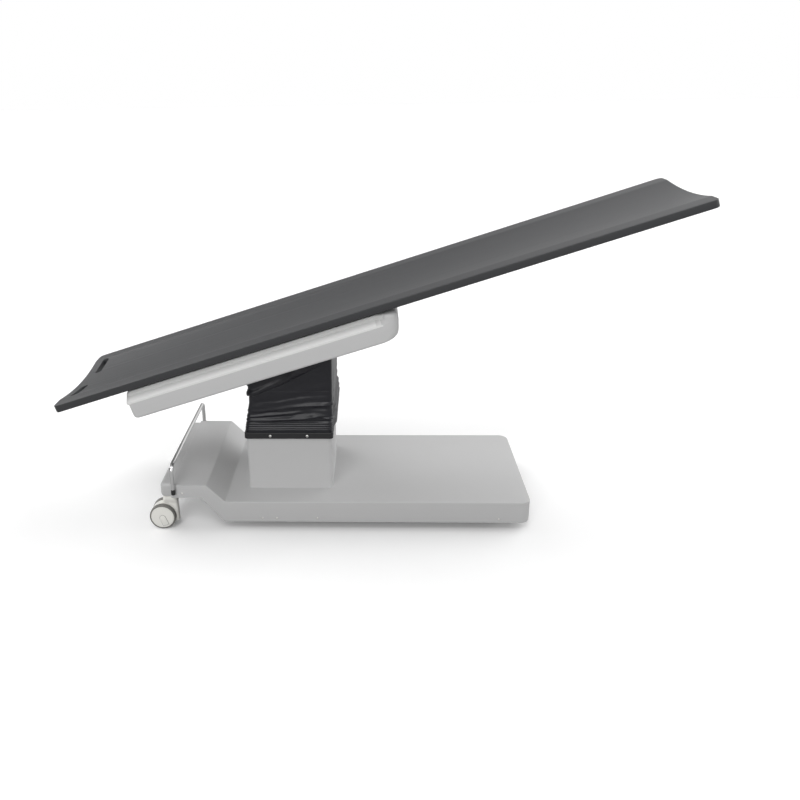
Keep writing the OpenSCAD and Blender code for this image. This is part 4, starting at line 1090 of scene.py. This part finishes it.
class TABLE_OT_casters(bpy.types.Operator):
    """Build the twin-wheel casters and the rear wheels"""

    bl_idname = "table.casters"
    bl_label = "Casters"

    def execute(self, context):
        size = context.scene.table_casters
        for name, side in (("front", -1), ("back", 1)):
            stem = (COLUMN_X - size.stem_x, side * size.stem_y)
            self.caster_body(size, f"caster_{name}", stem)
            self.caster_wheels(size, f"caster_{name}", stem, side)
            self.caster_covers(size, f"caster_{name}", stem)
            self.rear_wheel(size, name, side)
        return {"FINISHED"}

    def caster_body(self, size, name, stem):
        """Body between the wheels, its crown under the ledge, and the stem"""
        half, hub = size.fork / 2, size.wheel - 2 * size.gap
        low_angle = math.degrees(math.asin((size.hood_low - size.wheel) / hub))
        outline = [(size.hood_x, size.hood_low), (size.hood_x, size.hood_z), (size.neck_front, size.neck_top),
                   (-size.neck_back, size.neck_top)]
        outline += arc((-size.trail, size.wheel), hub, 88, 180 - low_angle, 18)
        # the nose is round seen from above
        nose = 0.009
        rings = []
        for share in (-1, -0.92, -0.75, -0.5, -0.2, 0.2, 0.5, 0.75, 0.92, 1):
            back = nose * (1 - math.sqrt(max(0.0, 1 - share * share)))
            rings.append([(stem[0] + x - (back if x > 0 else 0), stem[1] + share * half, z)
                          for x, z in outline])
        body = make_piece(f"{name}_hood", *loft(rings))
        round_edges(body, 0.0018, segments=3)
        # the crown widens over the wheels to the swivel head: height, half width and growth along the table
        top, crown_back, crown_corner = size.head_top, 0.016, 0.012
        rings = []
        for z, width, reach in (
            (0.094, half - 0.0005, -0.001), (0.102, half + 0.002, 0.0), (0.110, half + 0.0055, 0.0),
            (0.116, size.head, -0.0005), (top - 0.004, size.head, -0.0015),
            (top - 0.0012, size.head - 0.0012, -0.003), (top, size.head - 0.004, -0.006),
        ):
            plan = rounded_outline(-crown_back - reach, size.neck_front + reach, -width, width,
                                   min(width * 0.6, crown_corner))
            rings.append([(stem[0] + x, stem[1] + y, z) for x, y in plan])
        plain_piece(f"{name}_crown", loft(rings), name, "caster_plastic")
        place(body, name, "caster_plastic", f"{name}_body")
        ease = 0.001
        rod = upright([(size.stem, top - ease), (size.stem, size.stem_top - ease),
                       (size.stem - ease, size.stem_top)], stem)
        place(make_piece(f"{name}_stem", *rod), name, "zinc_steel")

    def caster_wheels(self, size, name, stem, side):
        """Two discs with a hollow face, and their treads"""
        centre = (stem[0] - size.trail, stem[1], size.wheel)
        start, inner = size.fork / 2 + size.gap, size.wheel - size.tyre
        end = start + size.wheel_width
        bore, boss, web, shoulder, lip = 0.0052, 0.012, 0.006, 0.0035, 0.0012
        rim = [(bore, start), (inner * 0.6, start), (inner, start), (inner, end - 0.0022),
               (inner - 0.0007, end - 0.0015), (inner - 0.002, end - 0.0022), (inner - 0.004, end - web),
               (boss, end - web), (boss - 0.001, end - 0.004), (bore, end - 0.004)]
        tread = [(inner + 0.0001, start + 0.0004), (inner + lip, start)]
        tread += arc((size.wheel - shoulder, start + shoulder), shoulder, -70, 0, 6)
        tread += arc((size.wheel - shoulder, end - shoulder), shoulder, 0, 70, 6)
        tread += [(inner + lip, end), (inner + 0.0001, end - 0.0004)]
        for place_name, facing in (("outer", side), ("inner", -side)):
            wheel(f"{name}_disc_{place_name}", rim, f"{name}_tread_{place_name}", tread,
                  f"{name}_wheel_{place_name}", (f"{name}_rim_{place_name}", f"{name}_tyre_{place_name}"),
                  centre, facing)

    def caster_covers(self, size, name, stem):
        """Domed covers over the discs, each with a raised tongue and a grey line round it, painted shade of
        the groove there
        """
        centre = (stem[0] - size.trail, stem[1], size.wheel)
        disc = size.wheel - size.tyre - 0.0012
        end = size.fork / 2 + size.gap + size.wheel_width
        dome = [(disc, end - 0.002), (disc, end - 0.0002), (disc - 0.0008, end + 0.0004),
                (disc * 0.6, end + 0.0009), (disc * 0.2, end + 0.0011)]
        # the tongue is round at its top and leans
        lean, half_width, bottom, round_at = math.radians(20), 0.012, -0.034, -0.003

        def tongue(facing, inset, level):
            r = half_width - inset
            plan = [(-r, bottom + inset), (r, bottom + inset)] + arc((0, round_at), r, 0, 180, 16)
            return [(centre[0] + a * math.cos(lean) - b * math.sin(lean), centre[1] + facing * (end + level),
                     centre[2] + a * math.sin(lean) + b * math.cos(lean)) for a, b in plan]

        # insets and levels over the cover's face, from the foot up
        raised = ((0.0012, -0.001), (0.0012, 0.0022), (0.0022, 0.0028))
        # the grey line is painted shade: a band just outside the tongue stands for the groove round it
        line = ((0, -0.001), (0, 0.0012), (0.001, 0.0016))
        covers, lines = [], []
        for facing in (-1, 1):
            covers.append(turned(dome, centre, facing, steps=96))
            covers.append(loft([tongue(facing, *step) for step in raised]))
            lines.append(loft([tongue(facing, *step) for step in line]))
        plain_piece(f"{name}_lines", joined(*lines), name, "caster_plastic", look="caster_groove_shade")
        plain_piece(f"{name}_covers", joined(*covers), name, "caster_plastic", f"{name}_caps")

    def rear_wheel(self, size, name, side):
        """Wheel under the long end, the same on both faces"""
        centre = (COLUMN_X + size.rear_x, side * size.rear_y, size.rear)
        half, inner = size.rear_width / 2, size.rear - size.rear_tyre
        bore, boss, web, shoulder = 0.0062, 0.012, 0.005, 0.004
        face = [(bore, half), (boss, half), (boss + 0.001, half - web), (inner - 0.004, half - web),
                (inner - 0.003, half), (inner, half)]
        rim = [(r, -along) for r, along in face] + face[::-1]
        tread = [(inner + 0.0001, -half)]
        tread += arc((size.rear - shoulder, -half + shoulder), shoulder, -90, 0, 6)
        tread += arc((size.rear - shoulder, half - shoulder), shoulder, 0, 90, 6)
        tread += [(inner + 0.0001, half)]
        wheel(f"rear_{name}_disc", rim, f"rear_{name}_tread", tread, f"rear_wheel_{name}",
              (f"rear_{name}_rim", f"rear_{name}_tyre"), centre)


class TABLE_OT_bar(bpy.types.Operator):
    """Build the brake bar and its sleeves"""

    bl_idname = "table.bar"
    bl_label = "Brake bar"

    def execute(self, context):
        bar = context.scene.table_bar
        overlap, ease, lip = 0.01, 0.0015, 0.0006
        x, foot = COLUMN_X - bar.x, bar.pivot + overlap
        left = arc((-bar.y + bar.bend, bar.z - bar.bend), bar.bend, 180, 90, 12)
        right = arc((bar.y - bar.bend, bar.z - bar.bend), bar.bend, 90, 0, 12)
        path = [(x, y, z) for y, z in [(-bar.y, foot)] + left + right + [(bar.y, foot)]]
        plain_piece("brake_bar_tube", tube(path, bar.radius, steps=32), "brake", "bright_steel", "brake_bar")
        low, top = bar.pivot - bar.sleeve, bar.pivot + bar.sleeve_reach
        profile = [(bar.sleeve - ease, low), (bar.sleeve, low + ease), (bar.sleeve, top - ease),
                   (bar.sleeve - lip, top), (bar.radius, top + 0.0001)]
        sleeves = joined(*(upright(profile, (x, side * bar.y)) for side in (-1, 1)))
        plain_piece("brake_bar_sleeves", sleeves, "brake", "black_plastic", "brake_sleeves")
        return {"FINISHED"}


class TABLE_OT_stage(bpy.types.Operator):
    """Lay the studio floor and set the lamps and the camera"""

    bl_idname = "table.stage"
    bl_label = "Stage"

    def execute(self, context):
        reach = 40
        outline = [(-reach, -reach), (reach, -reach), (reach, reach), (-reach, reach)]
        floor = make_piece("studio_floor", [(x, y, 0) for x, y in outline], [(0, 1, 2, 3)])
        paint = bpy.data.materials.new("matt studio paint")
        paint.use_nodes = True
        tree = paint.node_tree
        tree.nodes.clear()
        seen = add_node(tree, "ShaderNodeLightPath").outputs["Is Camera Ray"]
        # the floor throws back less light than it shows, so the faces of the object keep their tone
        thrown, shown = hex_linear("#bababa"), tuple(context.scene.table_colours.floor)
        shade = add_node(tree, "ShaderNodeMix", {"data_type": "RGBA", COLOUR_A: thrown, COLOUR_B: shown},
                         {"Factor": seen})
        matt = add_node(tree, "ShaderNodeBsdfDiffuse", links={"Color": shade.outputs[COLOUR_OUT]})
        # a little glow, seen by the camera alone, lifts the open floor to the photograph's white
        glow_strength = 0.1
        lift = add_node(tree, "ShaderNodeMath", {"operation": "MULTIPLY", 1: glow_strength}, {0: seen})
        glow = add_node(tree, "ShaderNodeEmission", links={"Strength": lift.outputs[0]})
        both = add_node(tree, "ShaderNodeAddShader", links={0: matt.outputs[0], 1: glow.outputs[0]})
        add_node(tree, "ShaderNodeOutputMaterial", links={"Surface": both.outputs[0]})
        floor.data.materials.append(paint)
        floor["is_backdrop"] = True
        self.world(context)
        self.lamps(context)
        self.camera(context)
        context.scene.view_settings.view_transform = "Standard"
        return {"FINISHED"}

    def world(self, context):
        """Plain grey light, seen as white by the camera and in gloss"""
        world = bpy.data.worlds.new("studio")
        world.use_nodes = True
        tree = world.node_tree
        tree.nodes.clear()
        rays = add_node(tree, "ShaderNodeLightPath").outputs
        seen = add_node(tree, "ShaderNodeMath", {"operation": "MAXIMUM"},
                        {0: rays["Is Camera Ray"], 1: rays["Is Transmission Ray"]})
        # gloss sees a wall that is brighter on the right
        here = add_node(tree, "ShaderNodeTexCoord").outputs["Generated"]
        side = add_node(tree, "ShaderNodeSeparateXYZ", links={"Vector": here}).outputs["X"]
        wall = add_node(
            tree, "ShaderNodeMapRange", {"From Min": -0.5, "From Max": 0.3, "To Min": 0.1, "To Max": 1.0},
            {"Value": side}).outputs["Result"]
        # light from all round, where it is neither mirrored nor seen directly
        fill = 0.32
        shiny = add_node(tree, "ShaderNodeMix", {"data_type": "FLOAT", "A": fill},
                         {"Factor": rays["Is Glossy Ray"], "B": wall})
        strength = add_node(tree, "ShaderNodeMix", {"data_type": "FLOAT", "B": 1.0},
                            {"Factor": seen.outputs[0], "A": shiny.outputs[0]})
        glow = add_node(tree, "ShaderNodeBackground", {"Color": (1, 1, 1, 1)},
                        {"Strength": strength.outputs[0]})
        add_node(tree, "ShaderNodeOutputWorld", links={"Surface": glow.outputs[0]})
        context.scene.world = world

    def lamps(self, context):
        """Four soft suns. Two from the front shape the object. Two wide ones come from the sides, a little
        from behind, to even out the open floor, and hardly show in gloss."""
        distance = 3
        for name, direction, spread, strength, shine in (
            ("high sun", (0.1, 0.55, -0.83), 26, 0.7, 1.0),
            ("front sun", (0.25, 0.9, -0.42), 34, 0.85, 1.0),
            ("left sun", (0.75, -0.4, -0.55), 60, 1.6, 0.0),
            ("right sun", (-0.75, -0.4, -0.55), 60, 1.6, 0.1),
        ):
            lamp = bpy.data.lights.new(name, "SUN")
            lamp.angle = math.radians(spread)
            lamp.energy = strength
            lamp.specular_factor = shine
            holder = bpy.data.objects.new(name, lamp)
            context.scene.collection.objects.link(holder)
            holder.location = -distance * Vector(direction)
            holder.rotation_mode = "QUATERNION"
            holder.rotation_quaternion = Vector(direction).to_track_quat("-Z", "Y")

    def camera(self, context):
        """Camera at the photograph's place, pitched down, turned to the left and rolled a little"""
        pitch, yaw, roll = 0.3534, 0.0453, -0.0179
        level = math.cos(pitch)
        forward = Vector((-math.sin(yaw) * level, math.cos(yaw) * level, -math.sin(pitch)))
        right = Vector((math.cos(yaw), math.sin(yaw), 0))
        up = right.cross(forward)
        across = right * math.cos(roll) + up * math.sin(roll)
        upward = up * math.cos(roll) - right * math.sin(roll)
        camera = bpy.data.objects.new("photo camera", bpy.data.cameras.new("photo camera"))
        context.scene.collection.objects.link(camera)
        camera.matrix_world = Matrix((across, upward, -forward)).transposed().to_4x4()
        camera.location = (0.0097, -2.8562, 1.5562)
        camera.data.lens = 36.5615
        camera.data.sensor_width = 36
        camera.data.shift_x = 0.08077
        camera.data.shift_y = -0.03337
        camera.data.clip_end = 200
        context.scene.camera = camera


class TABLE_PT_panel(bpy.types.Panel):
    bl_label = "Radiography Table"
    bl_idname = "TABLE_PT_panel"
    bl_space_type = "VIEW_3D"
    bl_region_type = "UI"
    bl_category = "Table"

    def draw(self, context):
        for operator in OPERATORS:
            self.layout.operator(operator.bl_idname)
        for name in size_groups():
            box = self.layout.box()
            group = getattr(context.scene, name)
            for key in group.bl_rna.properties.keys():
                if key not in ("rna_type", "name"):
                    box.prop(group, key)


OPERATORS = (
    TABLE_OT_finishes,
    TABLE_OT_tabletop,
    TABLE_OT_housing,
    TABLE_OT_base,
    TABLE_OT_skirt,
    TABLE_OT_screws,
    TABLE_OT_casters,
    TABLE_OT_bar,
    TABLE_OT_stage,
)


def register():
    for cls in (*size_groups().values(), *OPERATORS, TABLE_PT_panel):
        bpy.utils.register_class(cls)
    for name, cls in size_groups().items():
        setattr(bpy.types.Scene, name, bpy.props.PointerProperty(type=cls))


def unregister():
    for name in size_groups():
        delattr(bpy.types.Scene, name)
    for cls in reversed((*size_groups().values(), *OPERATORS, TABLE_PT_panel)):
        bpy.utils.unregister_class(cls)


def main():
    register()
    for operator in OPERATORS:
        family, name = operator.bl_idname.split(".")
        getattr(getattr(bpy.ops, family), name)()
    boxes = {"cad": cad_bounds, "visual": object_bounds()}
    {key: [list(corner) for corner in box] for key, box in boxes.items()}


if __name__ == "__main__":
    main()
